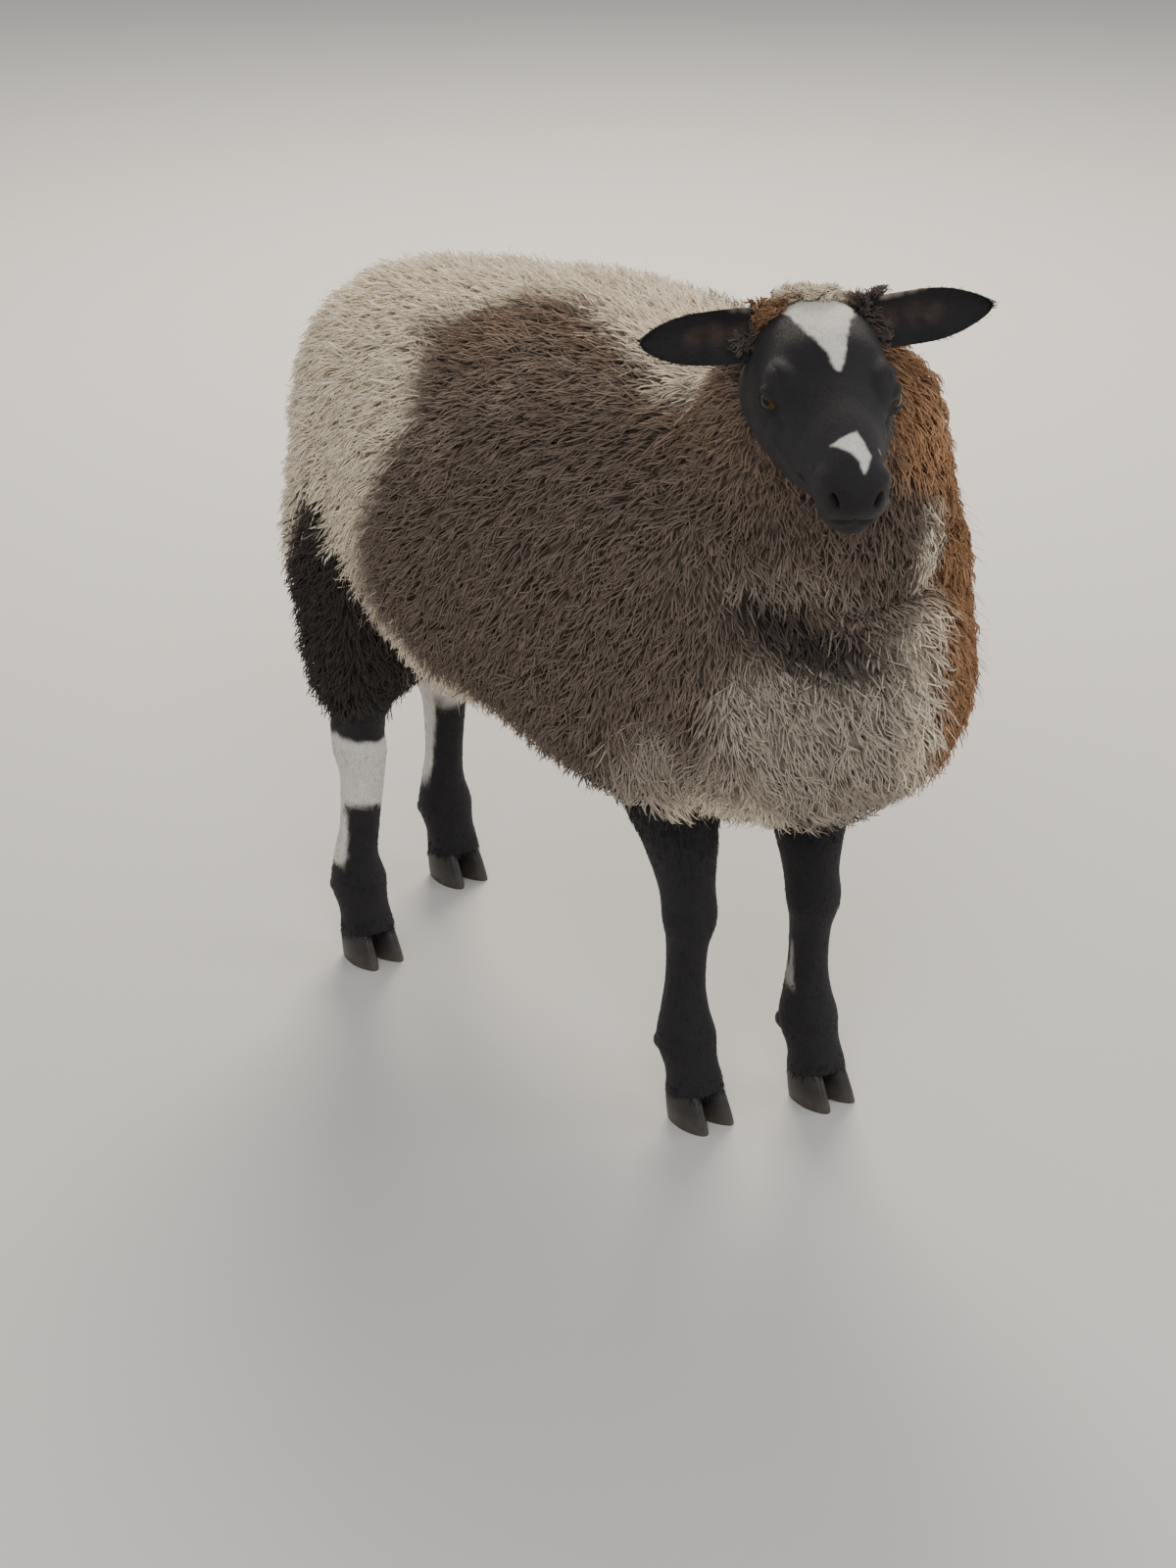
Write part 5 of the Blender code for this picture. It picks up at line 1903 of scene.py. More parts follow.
class TuftField:
    """Tufts of one style over some roots, as closed tapered tubes of three sides."""

    SIDES = 3
    PATCH = 0.003
    MOST_TRIANGLES = 195000
    ROOT_DEPTH = 0.0015

    def __init__(self, style: TuftStyle, roots: Roots, seed: int) -> None:
        """Draws what differs between the tufts.

        Args:
            style: how they are made.
            roots: where they grow.
            seed: the number that fixes the draw.
        """
        self.style = style
        self.roots = roots
        self.draw = np.random.default_rng(seed)

    def staples(self) -> tuple[Array, Array]:
        """Gathers the tufts into locks.

        Returns:
            For each tuft the row of its lock's first tuft, and that lock's number.
        """
        places = self.roots.places
        chosen: list[int] = []
        grid: dict[tuple[int, int, int], list[int]] = {}
        spacing = self.style.spacing
        cells = np.floor(places / spacing).astype(int)
        around = [(i, j, k) for i in (-1, 0, 1) for j in (-1, 0, 1) for k in (-1, 0, 1)]
        for row, (x, y, z) in enumerate(cells.tolist()):
            near = (other for i, j, k in around for other in grid.get((x + i, y + j, z + k), ()))
            if any(np.abs(places[row] - places[o]).sum() < spacing * 1.3 and
                   np.linalg.norm(places[row] - places[o]) < spacing for o in near):
                continue
            grid.setdefault((x, y, z), []).append(row)
            chosen.append(row)
        tree = KDTree(len(chosen))
        for number, row in enumerate(chosen):
            tree.insert(Vector(places[row]), number)
        tree.balance()
        number = np.array([tree.find(Vector(p))[1] for p in places])
        return np.array(chosen)[number], number

    def paths(self) -> tuple[Array, Array, Array]:
        """The middle line of each tuft.

        Returns:
            Points (tuft, ring, xyz), the side direction of each tuft, and the share along it of each ring.
        """
        style, roots, draw = self.style, self.roots, self.draw
        along = np.array(style.along, float)
        count, rings = len(roots.places), len(along) - 1
        first, number = self.staples() if style.gather > 0 else (np.arange(count), np.arange(count))
        locks = number.max() + 1
        lock_length = draw.uniform(0.84, 1.14, locks)[number]
        lock_phase = draw.uniform(0, math.tau, locks)[number]
        lock_turn = draw.normal(0, 0.3, locks)[number]
        normal = unit(mix(roots.normals, roots.normals[first], np.full((count, 1), 0.6)))
        lean = mix(roots.lean, roots.lean[first], np.full((count, 1), 0.8))
        lean = along_skin(lean, normal)
        side = np.cross(normal, lean)
        turn = lock_turn + draw.normal(0, style.stray, count)
        lean, side = (lean * np.cos(turn)[:, None] + side * np.sin(turn)[:, None],
                      side * np.cos(turn)[:, None] - lean * np.sin(turn)[:, None])
        length = style.length * roots.scale * lock_length * draw.uniform(0.86, 1.08, count)
        low, high = np.radians(style.rise)
        loose = draw.normal(0, 0.5 * style.stray, count)
        angle = low + (high - low) * along[None, :] ** 0.85 + loose[:, None] * along[None, :]
        step = np.zeros((count, rings + 1, 2))
        middle = (angle[:, 1:] + angle[:, :-1]) / 2
        step[:, 1:, 0] = np.cumsum(np.cos(middle) * np.diff(along), axis=1)
        step[:, 1:, 1] = np.cumsum(np.sin(middle) * np.diff(along), axis=1)
        path = roots.places[:, None, :] - normal[:, None, :] * self.ROOT_DEPTH
        reach = normal[:, None, :] * step[:, :, :1] + lean[:, None, :] * step[:, :, 1:]
        path = path + reach * length[:, None, None]
        pull = roots.places[first] - roots.places
        pull -= normal * (pull * normal).sum(axis=1, keepdims=True)
        path = path + pull[:, None, :] * (style.gather * along**1.4)[None, :, None]
        phase = lock_phase[:, None] + math.tau * style.waves * along[None, :]
        phase = phase + draw.normal(0, 0.35, count)[:, None]
        sway = style.curl * (along**0.8)[None, :] * draw.uniform(0.6, 1.3, count)[:, None]
        path = path + side[:, None, :] * (sway * np.sin(phase))[:, :, None]
        path = path + normal[:, None, :] * (0.6 * sway * np.cos(phase))[:, :, None]
        return path, side, along

    def meshes(self, name: str, material: Material) -> list[Object]:
        """Builds the tufts as one object or more, each under the most triangles of a coat piece.

        Args:
            name: the piece's name, numbered where there is more than one.
            material: its finish.

        Returns:
            The objects.
        """
        path, side, along = self.paths()
        per_tuft = 6 * (len(along) - 2) + 4
        pieces = math.ceil(len(path) * per_tuft / self.MOST_TRIANGLES)
        order = np.argsort(self.roots.places[:, 1] + 0.3 * self.roots.places[:, 2], kind="stable")
        made = []
        for number, rows in enumerate(np.array_split(order, pieces)):
            label = name if pieces == 1 else f"{name}_{number + 1}"
            made.append(self.mesh(label, path[rows], side[rows], along, self.roots.chosen(rows), material))
        return made

    def mesh(self, name: str, path: Array, side: Array, along: Array, roots: Roots,
             material: Material) -> Object:
        """One object of tufts.

        Args:
            name: the piece's name.
            path: the tufts' middle lines.
            side: the tufts' side directions.
            along: the share along a tuft of each ring.
            roots: the tufts' roots.
            material: the piece's finish.

        Returns:
            The object, with its colours, its grain and its OFBake map.
        """
        style, sides = self.style, self.SIDES
        count, rings = len(path), len(along) - 1
        tangent = unit(np.gradient(path, axis=1))
        across = side[:, None, :] - tangent * (side[:, None, :] * tangent).sum(axis=2, keepdims=True)
        across = unit(across)
        over = np.cross(tangent, across)
        profile = np.sin(math.pi * (0.2 + 0.72 * along[:-1])) ** 0.6
        wide = style.width / 2 * profile[None, :] * self.draw.uniform(0.75, 1.25, count)[:, None]
        wide = wide * np.sqrt(roots.scale)[:, None]
        roll = self.draw.uniform(0, math.tau, count)
        spin = roll[:, None, None] + math.tau * np.arange(sides)[None, None, :] / sides
        rim = (across[:, :-1, None, :] * (np.cos(spin) * wide[:, :, None])[..., None]
               + over[:, :-1, None, :] * (np.sin(spin) * wide[:, :, None] * style.flat)[..., None])
        tube = (path[:, :-1, None, :] + rim).reshape(count, rings * sides, 3)
        points = np.concatenate([tube, path[:, -1:, :]], axis=1)
        per = rings * sides + 1
        quads, patch = ring_faces(rings, sides), []
        for low, high in zip(along[:-2], along[1:-1]):
            for k in range(sides):
                one, two = k / sides, (k + 1) / sides
                patch += [(one, low), (two, low), (two, high), (one, high)]
        tris = []
        for k in range(sides):
            n = (k + 1) % sides
            tris.append(((rings - 1) * sides + k, (rings - 1) * sides + n, rings * sides))
            patch += [(k / sides, along[-2]), ((k + 1) / sides, along[-2]), ((k + 0.5) / sides, 1.0)]
        tris.append((2, 1, 0))
        patch += [(1.0, 0.0), (0.5, 0.0), (0.0, 0.0)]
        corners = np.array([v for face in quads + tris for v in face])
        totals = np.array([len(face) for face in quads + tris])
        data = bpy.data.meshes.new(name)
        data.vertices.add(count * per)
        data.vertices.foreach_set("co", points.astype(np.float32).ravel())
        data.loops.add(count * len(corners))
        index = (np.arange(count)[:, None] * per + corners[None, :]).ravel()
        data.loops.foreach_set("vertex_index", index.astype(np.int32))
        data.polygons.add(count * len(totals))
        starts = np.concatenate([[0], np.cumsum(totals)[:-1]])
        starts = (np.arange(count)[:, None] * len(corners) + starts[None, :]).ravel()
        data.polygons.foreach_set("loop_start", starts.astype(np.int32))
        data.update(calc_edges=True)
        data.shade_smooth()
        self.dress(data, roots, along, per, np.array(patch))
        data.materials.append(material)
        return add_object(name, data)

    def dress(self, data: Mesh, roots: Roots, along: Array, per: int, patch: Array) -> None:
        """Writes the tufts' colours, grain and OFBake map.

        Args:
            data: the mesh.
            roots: the tufts' roots.
            along: the share along a tuft of each ring.
            per: how many points a tuft has.
            patch: a tuft's own map, from 0 to 1.
        """
        count, sides = len(roots.places), self.SIDES
        level = np.concatenate([np.repeat(along[:-1], sides), [1.0]])
        share = (0.2 + 0.8 * level)[None, :, None]
        colour = mix(roots.root_colour[:, None, :], roots.tip_colour[:, None, :], share)
        colour = colour * self.draw.uniform(1 - self.style.vary, 1 + self.style.vary, (count, 1, 1))
        rgba = np.ones((count, per, 4), np.float32)
        rgba[:, :, :3] = colour
        write_attribute(data, "coat", "FLOAT_COLOR", rgba)
        turn = np.concatenate([np.tile(np.arange(sides) * math.tau / sides, len(along) - 1), [0.0]])
        grain = np.empty((count, per, 3), np.float32)
        grain[:, :, 0] = np.cos(turn)[None, :] + self.draw.uniform(0, 50, (count, 1))
        grain[:, :, 1] = level[None, :] * 0.5
        grain[:, :, 2] = np.sin(turn)[None, :]
        write_attribute(data, "grain", "FLOAT_VECTOR", grain)
        low = roots.unwrap.min(axis=0)
        size = np.maximum(roots.unwrap.max(axis=0) - low, 1e-6)
        place = (roots.unwrap - low) / size * (1.0 - 2 * self.PATCH) + self.PATCH
        uv = place[:, None, :] + (patch[None, :, :] - 0.5) * self.PATCH
        layer = data.uv_layers.new(name="OFBake")
        layer.data.foreach_set("uv", uv.astype(np.float32).ravel())


# How many tufts are sown on each part, before those that other parts hide are taken out
SOWN = {"under": 20000, "body": 51000, "fuzz": 3000, "tail": 1500, "scrotum": 900, "topknot": 32000,
        "topknot_ear": 2400, "face": 14500, "ear": 2000, "leg": 5200}
SEEDS = {"fleece": 101, "tail": 103, "topknot": 107, "face": 109, "leg": 113}


@dataclass
class Planter:
    """Plants the coat on the parts of the skin."""

    build: Build
    skin: Skin
    markings: Markings
    thin: float = 1.0
    made: list[Object] = field(default_factory=list)
    noise: Noise = field(default_factory=lambda: Noise(29))

    def roots(self, places: Array, normals: Array, lean: Array, scale: Array, colours: tuple[Array, Array],
              centre: Place, axis: Place) -> Roots:
        """Gathers what tufts need, unwrapping their part of the skin round an axis.

        Args:
            places: where the tufts grow.
            normals: the skin's normals there.
            lean: the way they lean.
            scale: their size, as a share of the style's.
            colours: root and tip colours.
            centre: a point on the axis of the unwrap.
            axis: the direction of the axis.

        Returns:
            The roots.
        """
        way = unit(np.array(axis, float))
        first = unit(np.cross(way, (0.31, 0.22, 0.93) if abs(way[2]) < 0.9 else (1.0, 0.1, 0.0)))
        second = np.cross(way, first)
        offset = places - np.array(centre, float)
        angle = np.arctan2(offset @ second, offset @ first)
        unwrap = np.stack([angle / math.tau, offset @ way], axis=1)
        return Roots(places, normals, lean, scale, *colours, unwrap)

    def sow(self, part: str, kind: str, draw: np.random.Generator, hidden: Sequence[str] = (),
            margin: float = 0.0) -> tuple[Array, Array]:
        """Args:
            part: the part's name.
            kind: the row of SOWN that says how many.
            draw: the source of random numbers.
            hidden: other parts, inside which nothing grows.
            margin: how far inside them it still grows.

        Returns:
            The places that are left, and their normals.
        """
        places, normals = scatter(self.skin.parts[part], int(SOWN[kind] * self.thin), draw)
        keep = outside(places, [self.skin.parts[name].tree for name in hidden], margin)
        return places[keep], normals[keep]

    def plant(self, name: str, coat: Coat, roots: Roots, material: Material, seed: int) -> None:
        """Makes one coat piece or more."""
        for piece in TuftField(STYLES[coat], roots, seed).meshes(name, material):
            self.made.append(piece)
            LOG.info("%s: %d tufts in all, %d faces", piece.name, len(roots.places), len(piece.data.polygons))

    def fleece(self, material: Material) -> None:
        """Wool over the trunk, neck and thighs: long on the chest, curly on the neck, and thin fuzz above it.

        Args:
            material: the wool's finish.
        """
        hidden = [part.tree for name, part in self.skin.parts.items() if name != "body"]
        draw = np.random.default_rng(SEEDS["fleece"])
        layers = (("under", Coat.UNDERCOAT), ("body", Coat.FLEECE), ("fuzz", Coat.FUZZ))
        for seed, (kind, coat) in enumerate(layers, 7):
            name = f"wool_{kind}"
            places, normals = self.sow("body", kind, draw)
            thinner = 0.35 * ramp(-normals[:, 2], 0.55, 0.8)
            keep = (draw.uniform(size=len(places)) > thinner) & outside(places, hidden, 0.001)
            places, normals = places[keep], normals[keep]
            kinds = {name: (coat, np.ones(len(places), bool))}
            if coat is Coat.FLEECE:
                pick = draw.uniform(size=len(places))
                chest, curly = self.chest_share(places), self.curly_share(places)
                curled = pick < curly
                long = (pick < chest) & ~curled
                kinds = {name: (coat, ~(long | curled)), "wool_chest": (Coat.CHEST, long),
                         "wool_neck_curls": (Coat.CURLY, curled)}
            for label, (style, rows) in kinds.items():
                roots = self.fleece_roots(places[rows], normals[rows], draw)
                self.plant(label, style, roots, material, seed)

    def chest_share(self, places: Array) -> Array:
        """The share of long hanging locks: all at the elbows and brisket, few up the chest, none elsewhere.

        Args:
            places: where the wool grows.

        Returns:
            One share for each.
        """
        front = 1.0 - ramp(places[:, 1], -0.36, -0.28)
        low = 1.0 - ramp(places[:, 2], 0.42, 0.52)
        elbow = 1.0 - ramp(np.linalg.norm(np.abs(places) - (0.16, 0.28, 0.42), axis=1), 0.05, 0.1)
        share = np.maximum(front * (0.25 + 0.75 * low), elbow * (places[:, 1] < 0))
        return np.clip(share, 0, 1) * (places[:, 2] < 0.62)

    def curly_share(self, places: Array) -> Array:
        """The share of short curls: all on the left side of the neck and the left of the chest.

        Args:
            places: where the wool grows.

        Returns:
            One share for each.
        """
        front = 1.0 - ramp(places[:, 1], -0.36, -0.28)
        return front * ramp(places[:, 0], -0.005, 0.03) * ramp(places[:, 2], 0.42, 0.5)

    def fleece_roots(self, places: Array, normals: Array, draw: np.random.Generator) -> Roots:
        """Roots on the trunk, neck and thighs, with the colours of neighbours mixed where they meet.

        Args:
            places: where the wool grows.
            normals: the skin's normals there.
            draw: the source of random numbers.

        Returns:
            The roots.
        """
        lean = lie_of_fleece(places, normals, self.noise)
        scale = 1.0 + 0.1 * self.noise.at(places, 0.05)
        on_thigh = (1.0 - ramp(places[:, 2], 0.34, 0.42)) * ramp(places[:, 1], 0.08, 0.15)
        scale = scale * (1.0 - 0.22 * on_thigh)
        near_head = 1.0 - ramp(np.linalg.norm(places - np.array(self.build.neck_head), axis=1), 0.085, 0.14)
        left_nape = ramp(places[:, 0], 0.0, 0.03) * ramp(places[:, 2], 0.72, 0.77)
        scale = scale * (1.0 - 0.25 * near_head + 0.3 * near_head * left_nape)
        low_chest = (1.0 - ramp(places[:, 1], -0.4, -0.3)) * (1.0 - ramp(places[:, 2], 0.42, 0.52))
        scale = scale * (1.0 - low_chest * (0.15 + 0.25 * ramp(places[:, 0], -0.06, 0.02)))
        colours = self.markings.of_body(places + draw.normal(0, 0.0055, places.shape))
        return self.roots(places, normals, lean, scale, colours, (0, 0, 0.58), (0, 1, 0))

    def tail_and_scrotum(self, material: Material) -> None:
        """Wool on the tail and short wool on the scrotum.

        Args:
            material: the wool's finish.
        """
        draw = np.random.default_rng(SEEDS["tail"])
        for name, size, tone in (("tail", 0.62, None), ("scrotum", 0.4, GREY_BROWN)):
            places, normals = self.sow(name, name, draw, ("body",), 0.001)
            wish = np.tile([0.0, 0.05, -1.0], (len(places), 1))
            lean = along_skin(wish, normals)
            colours = self.markings.of_body(places)
            if tone:
                colours = (np.tile(tone.root, (len(places), 1)), np.tile(tone.tip, (len(places), 1)))
            centre = places.mean(axis=0)
            roots = self.roots(places, normals, lean, np.full(len(places), size), colours, centre, (0, 0, 1))
            self.plant(f"wool_{name}", Coat.FLEECE, roots, material, 13)

    def topknot(self, material: Material) -> None:
        """Curly, uneven wool on the crown, over the ears' roots and back over the nape.

        Args:
            material: the wool's finish.
        """
        draw = np.random.default_rng(SEEDS["topknot"])
        head = self.sow("head", "topknot", draw)
        ears = [self.sow(f"ear_{side.word}", "topknot_ear", draw) for side in Side]
        places = np.vstack([head[0], *(ear[0] for ear in ears)])
        normals = np.vstack([head[1], *(ear[1] for ear in ears)])
        on_ear = np.arange(len(places)) >= len(head[0])
        local = self.markings.head_points(places)
        turn = np.array(self.build.head_frame())[:3, :3]
        facing = normals @ turn
        rough = self.noise.at(places, 0.014)
        front = -0.004 - 0.008 * ramp(np.abs(local[:, 0]), 0.02, 0.04) + 0.009 * rough
        keep = np.where(
            on_ear,
            (np.abs(local[:, 0]) < 0.056 + 0.01 * rough) & (facing[:, 2] > 0.25),
            (local[:, 1] > front) & (local[:, 2] > -0.034 - 3.0 * np.maximum(local[:, 1] - 0.012, 0))
            & (np.abs(local[:, 0]) < 0.054),
        )
        kept = (places, normals, local, front, on_ear)
        places, normals, local, front, on_ear = (rows[keep] for rows in kept)
        count = len(local)
        wish = np.stack([local[:, 0] * 12, np.full(count, -0.15), np.full(count, 0.3)], axis=1) @ turn.T
        wish += 1.1 * np.stack([self.noise.at(places + 2.0 * k, 0.016) for k in range(3)], axis=1)
        lean = along_skin(wish, normals)
        scale = np.where(on_ear, 0.75, 0.5 + 0.55 * ramp(local[:, 1] - front, 0.0, 0.016))
        scale = scale * (1.0 + 0.35 * self.noise.at(places + 4.0, 0.018))
        middle = 0.022 - np.abs(local[:, 0] - 0.002) + 0.008 * self.noise.at(places, 0.01)
        white = ramp(middle, -0.006, 0.006)[:, None]
        # Dark brown on the left of the crown; low down round the ears' roots the dark is painted shadow.
        dark = np.maximum(ramp(local[:, 0], 0.022, 0.034), ramp(-local[:, 2], 0.016, 0.03))[:, None]
        root = mix(np.array(RUST.root), np.array(DARK_BROWN.root), dark)
        root = mix(root, np.array(PALE_CHEST.root), white)
        tip = mix(np.array(RUST.tip) * 0.75, np.array(DARK_BROWN.tip) * 2.4, dark)
        tip = mix(tip, np.array(CREAM.tip), white)
        roots = self.roots(places, normals, lean, scale, (root, tip), self.build.poll, (0, 1, 0.2))
        self.plant("wool_topknot", Coat.TOPKNOT, roots, material, 17)

    def face_hair(self, material: Material) -> None:
        """Short hair that lies back over the face and out along the ears.

        Args:
            material: the hair's finish.
        """
        draw = np.random.default_rng(SEEDS["face"])
        turn = np.array(self.build.head_frame())[:3, :3]
        places, normals = self.sow("head", "face", draw, ("body",), -0.02)
        local = self.markings.head_points(places)
        keep = draw.uniform(size=len(local)) > self.skin.hairless(local)
        keep &= ~((local[:, 1] > 0.004) & (local[:, 2] > -0.02))
        places, normals, local = places[keep], normals[keep], local[keep]
        count = len(local)
        wish = np.stack([np.sign(local[:, 0]) * 0.25, np.ones(count), np.full(count, 0.15)], axis=1) @ turn.T
        lean = along_skin(wish, normals)
        scale = 0.6 + 0.4 * ramp(local[:, 1], -0.2, -0.05)
        colours = self.markings.of_head(places)
        roots = self.roots(places, normals, lean, scale, colours, self.build.poll, tuple(turn @ (0, 1, 0)))
        self.plant("hair_face", Coat.HAIR, roots, material, 19)
        for side in Side:
            places, normals = self.sow(f"ear_{side.word}", "ear", draw, ("head",), 0.0005)
            wish = np.tile([float(side.value), 0.0, 0.0], (len(places), 1)) @ turn.T
            lean = along_skin(wish, normals)
            colours = self.markings.of_head(places)
            roots = self.roots(places, normals, lean, np.full(len(places), 0.9), colours, places.mean(axis=0),
                               tuple(turn @ (1, 0, 0)))
            self.plant(f"hair_ear_{side.word}", Coat.HAIR, roots, material, 23)

    def leg_hair(self, material: Material) -> None:
        """Short hair down the legs, growing longer over the coronets.

        Args:
            material: the hair's finish.
        """
        draw = np.random.default_rng(SEEDS["leg"])
        for end, side in self.build.hoof_at:
            name = f"{end.value}leg_{side.word}"
            places, normals = self.sow(name, "leg", draw, ("body",))
            keep = places[:, 2] > 0.03
            places, normals = places[keep], normals[keep]
            wish = np.tile([0.0, 0.12, -1.0], (len(places), 1))
            lean = along_skin(wish, normals)
            height = places[:, 2]
            scale = 1.0 + 0.35 * (1.0 - ramp(height, 0.045, 0.06)) + 0.9 * ramp(height, 0.26, 0.36)
            colours = self.markings.of_leg(end, side, places)
            hoof = self.build.hoof_at[end, side]
            roots = self.roots(places, normals, lean, scale, colours, (hoof.x, hoof.y + 0.028, 0), (0, 0, 1))
            self.plant(f"hair_{name}", Coat.LEG_HAIR, roots, material, 27)


# Eyes and hooves


@dataclass
class Eyes:
    """The two eyeballs, each with the swell of its cornea."""

    build: Build
    segments: int = 64
    rings: int = 48
    cornea: float = 0.0011

    def make(self, side: Side, material: Material) -> Object:
        """One eyeball, placed in the head.

        Args:
            side: which eye.
            material: its finish.

        Returns:
            The object.
        """
        look, along, up = self.build.gaze(side)
        radii = (self.build.eye_radius,) * 3
        made = ball(f"eyeball_{side.word}", (0, 0, 0), radii, None, self.segments, self.rings)
        points, normals = read_points(made)
        off_gaze = np.arccos(np.clip(normals[:, 2], -1, 1))
        points += normals * (self.cornea * np.exp(-((off_gaze / 0.55) ** 4)))[:, None]
        write_points(made, points)
        turn = Matrix((-along, up, look)).transposed()
        made.matrix_world = self.build.head_frame() @ Matrix.Translation(self.build.eye(side)) @ turn.to_4x4()
        made.data.materials.append(material)
        made.data.shade_smooth()
        return made


@dataclass
class Hooves:
    """The eight claws and the eight small claws behind the fetlocks."""

    build: Build
    splay: float = math.radians(5)
    sides: int = 40
    levels: int = 18

    def claw(self, end: End, side: Side, which: int, name: str) -> Object:
        """One claw: flat-soled, sloping at the toe, and rounded outside.

        Args:
            end: fore or hind.
            side: which leg.
            which: 1 for the claw towards +X, -1 for the other.
            name: the object's name.

        Returns:
            The object.
        """
        build = self.build
        hoof = build.hoof_at[end, side]
        turn = Matrix.Rotation(which * self.splay, 3, "Z")
        points = []
        high = build.coronet_height - 0.003
        for i in range(self.levels + 1):
            t = i / self.levels
            z = high * t
            wide = float(np.interp(z, (0, 0.0015, 0.012, 0.026, high), (0.975, 1.0, 0.99, 0.93, 0.84)))
            long = float(np.interp(z, (0, 0.0015, 0.012, 0.026, high), (0.985, 1.0, 0.97, 0.9, 0.8)))
            for k in range(self.sides):
                a = math.tau * k / self.sides
                x = math.copysign(abs(math.cos(a)) ** 0.75, math.cos(a)) * build.claw_half_width * wide
                y = -math.sin(a) * build.claw_length / 2 * long + 0.3 * z
                toe = 1.0 - 0.38 * max(0.0, math.sin(a)) ** 2
                place = Vector((which * (build.claw_half_width + 0.0016) + x * toe, y, 0))
                points.append(hoof + turn @ place + Vector((0, 0, z)))
        faces = ring_faces(self.levels + 1, self.sides)
        faces.append(tuple(range(self.sides)))
        faces.append(tuple(self.levels * self.sides + k for k in range(self.sides)))
        made = solid(name, np.array(points), faces)
        made.data.shade_smooth()
        made.data.set_sharp_from_angle(angle=math.radians(50))
        return made

    def dewclaw(self, end: End, side: Side, which: int, name: str) -> Object:
        """One small claw behind a fetlock.

        Args:
            end: fore or hind.
            side: which leg.
            which: 1 for the one towards +X, -1 for the other.
            name: the object's name.

        Returns:
            The object.
        """
        hoof = self.build.hoof_at[end, side]
        place = hoof + Vector((which * 0.013, 0.0495, self.build.fetlock_height - 0.014))
        made = ball(name, (0, 0, 0), (1, 1, 1))
        points, _ = read_points(made)
        points[:, :2] *= (0.8 + 0.2 * np.clip(points[:, 2:] * 2.0 + 1.0, -1.0, 1.0)) * (0.006, 0.0075)
        points[:, 2] *= 0.0105
        turn = np.array(Matrix.Rotation(math.radians(-25), 3, "X"))
        write_points(made, points @ turn.T + np.array(place))
        made.data.shade_smooth()
        return made

    def make(self, material: Material) -> dict[str, Object]:
        """All the claws, by the name of the node that each stands for.

        Args:
            material: their finish.

        Returns:
            The objects.
        """
        made = {}
        for end, side in self.build.hoof_at:
            for word, which in (("outer", side.value), ("inner", -side.value)):
                place = f"{end.value}_{side.word}_{word}"
                made[f"claw_{place}"] = self.claw(end, side, which, f"horn_claw_{place}")
                made[f"dewclaw_{place}"] = self.dewclaw(end, side, which, f"horn_dewclaw_{place}")
        for piece in made.values():
            piece.data.materials.append(material)
        return made


# Camera, lights and floor


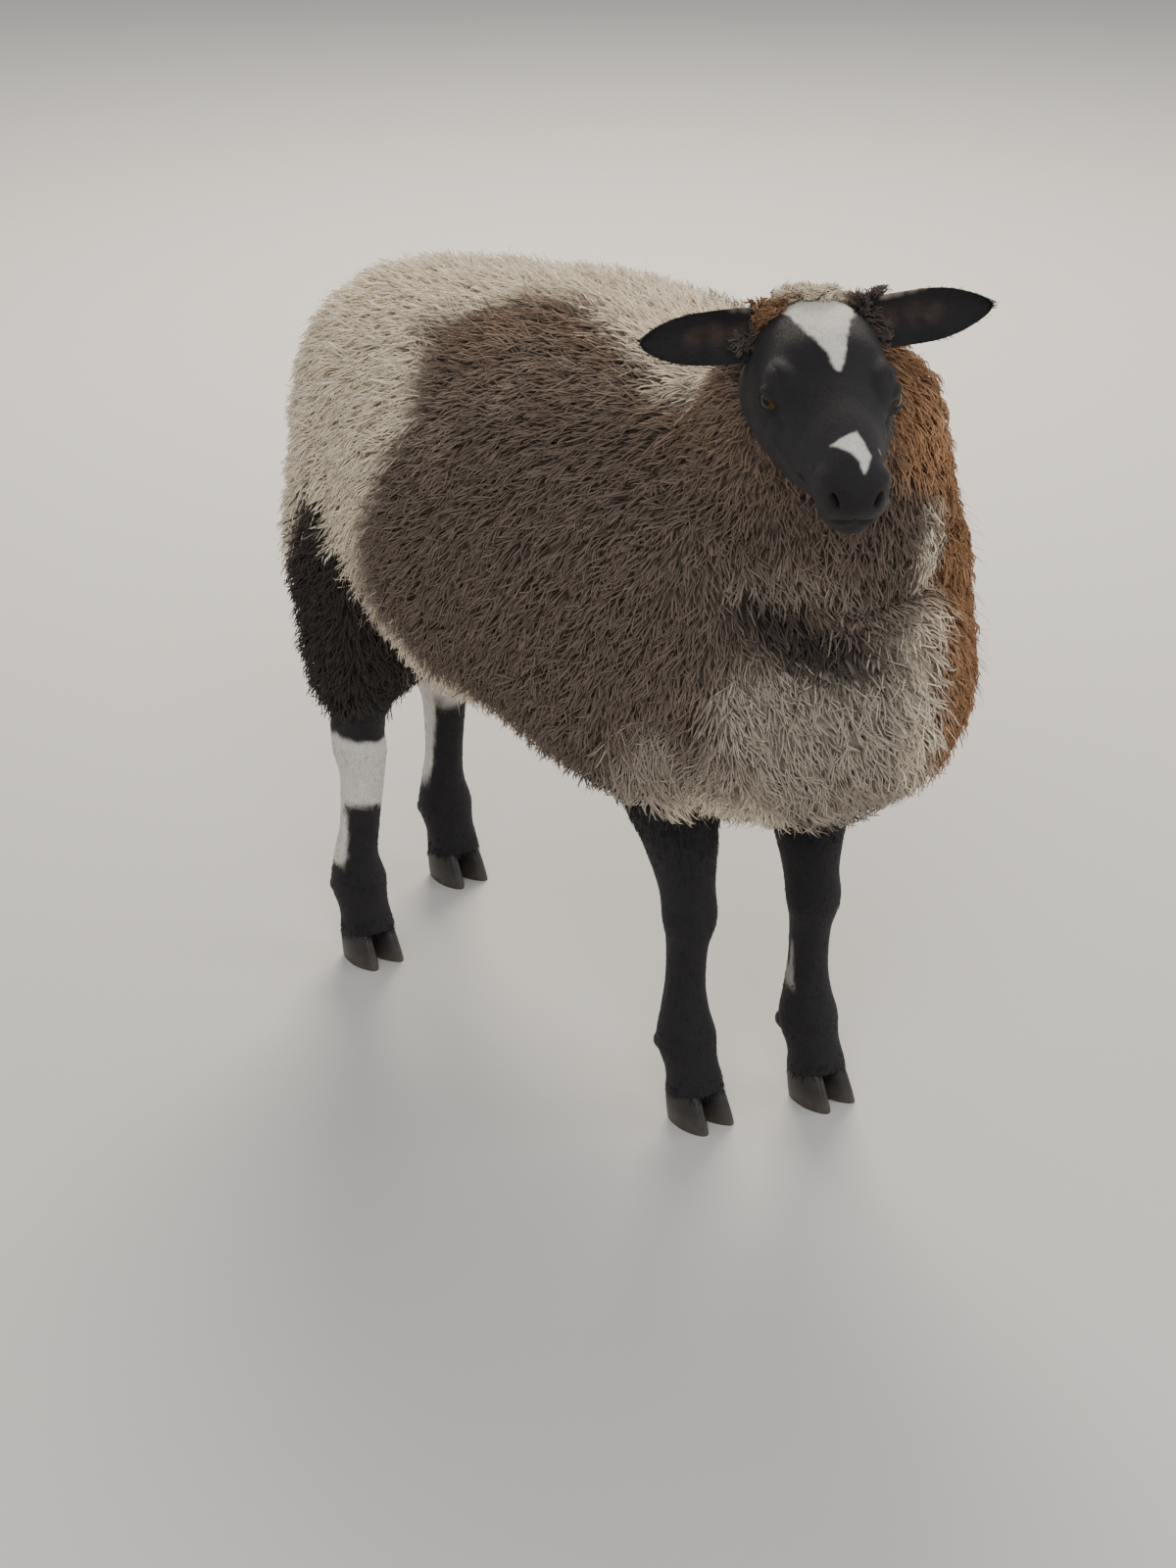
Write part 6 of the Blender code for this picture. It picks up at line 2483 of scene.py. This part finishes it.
@dataclass
class Studio:
    """A pale floor, soft lights and the photograph's viewpoint."""

    shift: Vector
    target: Vector = at(0, 0, 0.42)
    elevation: float = math.radians(22.49)
    azimuth: float = math.radians(-39.62)
    distance: float = 3.701
    aim_across: float = math.radians(-0.04)
    aim_up: float = math.radians(-2.12)
    lens: float = 83.18
    sensor: float = 36.0
    floor_half: float = 40.0

    def camera(self) -> Object:
        """The camera at the photograph's place and angle.

        Returns:
            The camera.
        """
        e, a = self.elevation, self.azimuth
        back = Vector((math.sin(a) * math.cos(e), -math.cos(a) * math.cos(e), math.sin(e)))
        right = (-back).cross(Vector((0, 0, 1))).normalized()
        up = right.cross(-back)
        aim = -back + right * math.tan(self.aim_across) + up * math.tan(self.aim_up)
        data = bpy.data.cameras.new("camera")
        data.lens = self.lens
        data.sensor_width = self.sensor
        made = add_object("camera", data)
        made.location = self.target + self.shift + back * self.distance
        made.rotation_mode = "QUATERNION"
        made.rotation_quaternion = aim.to_track_quat("-Z", "Y")
        bpy.context.scene.camera = made
        return made

    def lamp(self, name: str, place: Place, size: float, power: float,
             colour: Place) -> Object:
        """A soft square light, turned to the ram.

        Args:
            name: its name.
            place: where it hangs.
            size: the side of its square.
            power: its power in watts.
            colour: its colour.

        Returns:
            The light.
        """
        data = bpy.data.lights.new(name, "AREA")
        data.size = size
        data.energy = power
        data.color = colour
        made = add_object(name, data)
        made.location = Vector(place)
        made.rotation_mode = "QUATERNION"
        made.rotation_quaternion = (Vector((0, 0, 0.5)) - made.location).to_track_quat("-Z", "Y")
        return made

    def lights(self) -> None:
        """A broad light above the viewer, a warm one behind, and an even surround."""
        self.lamp("key", (-2.6, -3.0, 3.4), 2.6, 120, (1.0, 0.985, 0.96))
        self.lamp("fill", (2.8, -2.6, 1.6), 2.4, 36, (0.94, 0.97, 1.0))
        self.lamp("back", (2.2, 2.6, 2.8), 1.6, 190, (1.0, 0.9, 0.76))
        world = bpy.data.worlds.new("surround")
        world.use_nodes = True
        inputs = world.node_tree.nodes["Background"].inputs
        inputs["Color"].default_value = (0.92, 0.92, 0.94, 1)
        inputs["Strength"].default_value = 0.55
        bpy.context.scene.world = world

    def floor(self) -> Object:
        """A wide pale floor.

        Returns:
            The floor.
        """
        corners = self.floor_half * np.array([(-1, -1, 0), (1, -1, 0), (1, 1, 0), (-1, 1, 0)], float)
        made = solid("floor", corners, [(0, 1, 2, 3)])
        material = bpy.data.materials.new("pale_floor")
        material.use_nodes = True
        shader = material.node_tree.nodes["Principled BSDF"]
        shader.inputs["Base Color"].default_value = (0.62, 0.61, 0.59, 1)
        shader.inputs["Roughness"].default_value = 0.85
        made.data.materials.append(material)
        return made


def main() -> None:
    """Builds the ram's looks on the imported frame."""
    logging.basicConfig(level=logging.INFO, format="%(name)s: %(message)s")
    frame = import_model()
    build = Build()
    low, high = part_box("eye_left")
    shift = (low + high) / 2 - build.head_frame() @ build.eye(Side.LEFT)
    shift.z = 0.0
    LOG.info("shift of the packed frame: %s", tuple(round(v, 5) for v in shift))
    studio = Studio(shift)
    studio.camera()

    effects = Effects()
    markings = Markings(build)
    skin = Skin(build, markings)
    hide = skin.make()
    hide.data.materials.clear()
    hide.data.materials.append(HideFinish().material(effects))
    LOG.info("skin: %d faces", len(hide.data.polygons))

    planter = Planter(build, skin, markings, 1.0)
    wool = TuftFinish("wool", 0.95, 0.08).material(effects)
    hair = TuftFinish("short_hair", 0.6, 0.04, shade_depth=0.4).material(effects)
    planter.fleece(wool)
    planter.tail_and_scrotum(wool)
    planter.topknot(wool)
    planter.face_hair(hair)
    planter.leg_hair(hair)

    horn = HornFinish().material(effects)
    claws = Hooves(build).make(horn)
    eye_finish = EyeFinish().material(effects)
    eyes = {f"eye_{side.word}": Eyes(build).make(side, eye_finish) for side in Side}

    for piece in [hide, *planter.made, *claws.values(), *eyes.values()]:
        piece.matrix_world = Matrix.Translation(shift) @ piece.matrix_world
        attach(piece, BODY)
    flesh = [name for name in frame["nodes"] if name not in claws and name not in eyes]
    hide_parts(*flesh)
    for node, piece in {**claws, **eyes}.items():
        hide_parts(node)

    studio.lights()
    studio.floor()


if __name__ == "__main__":
    main()
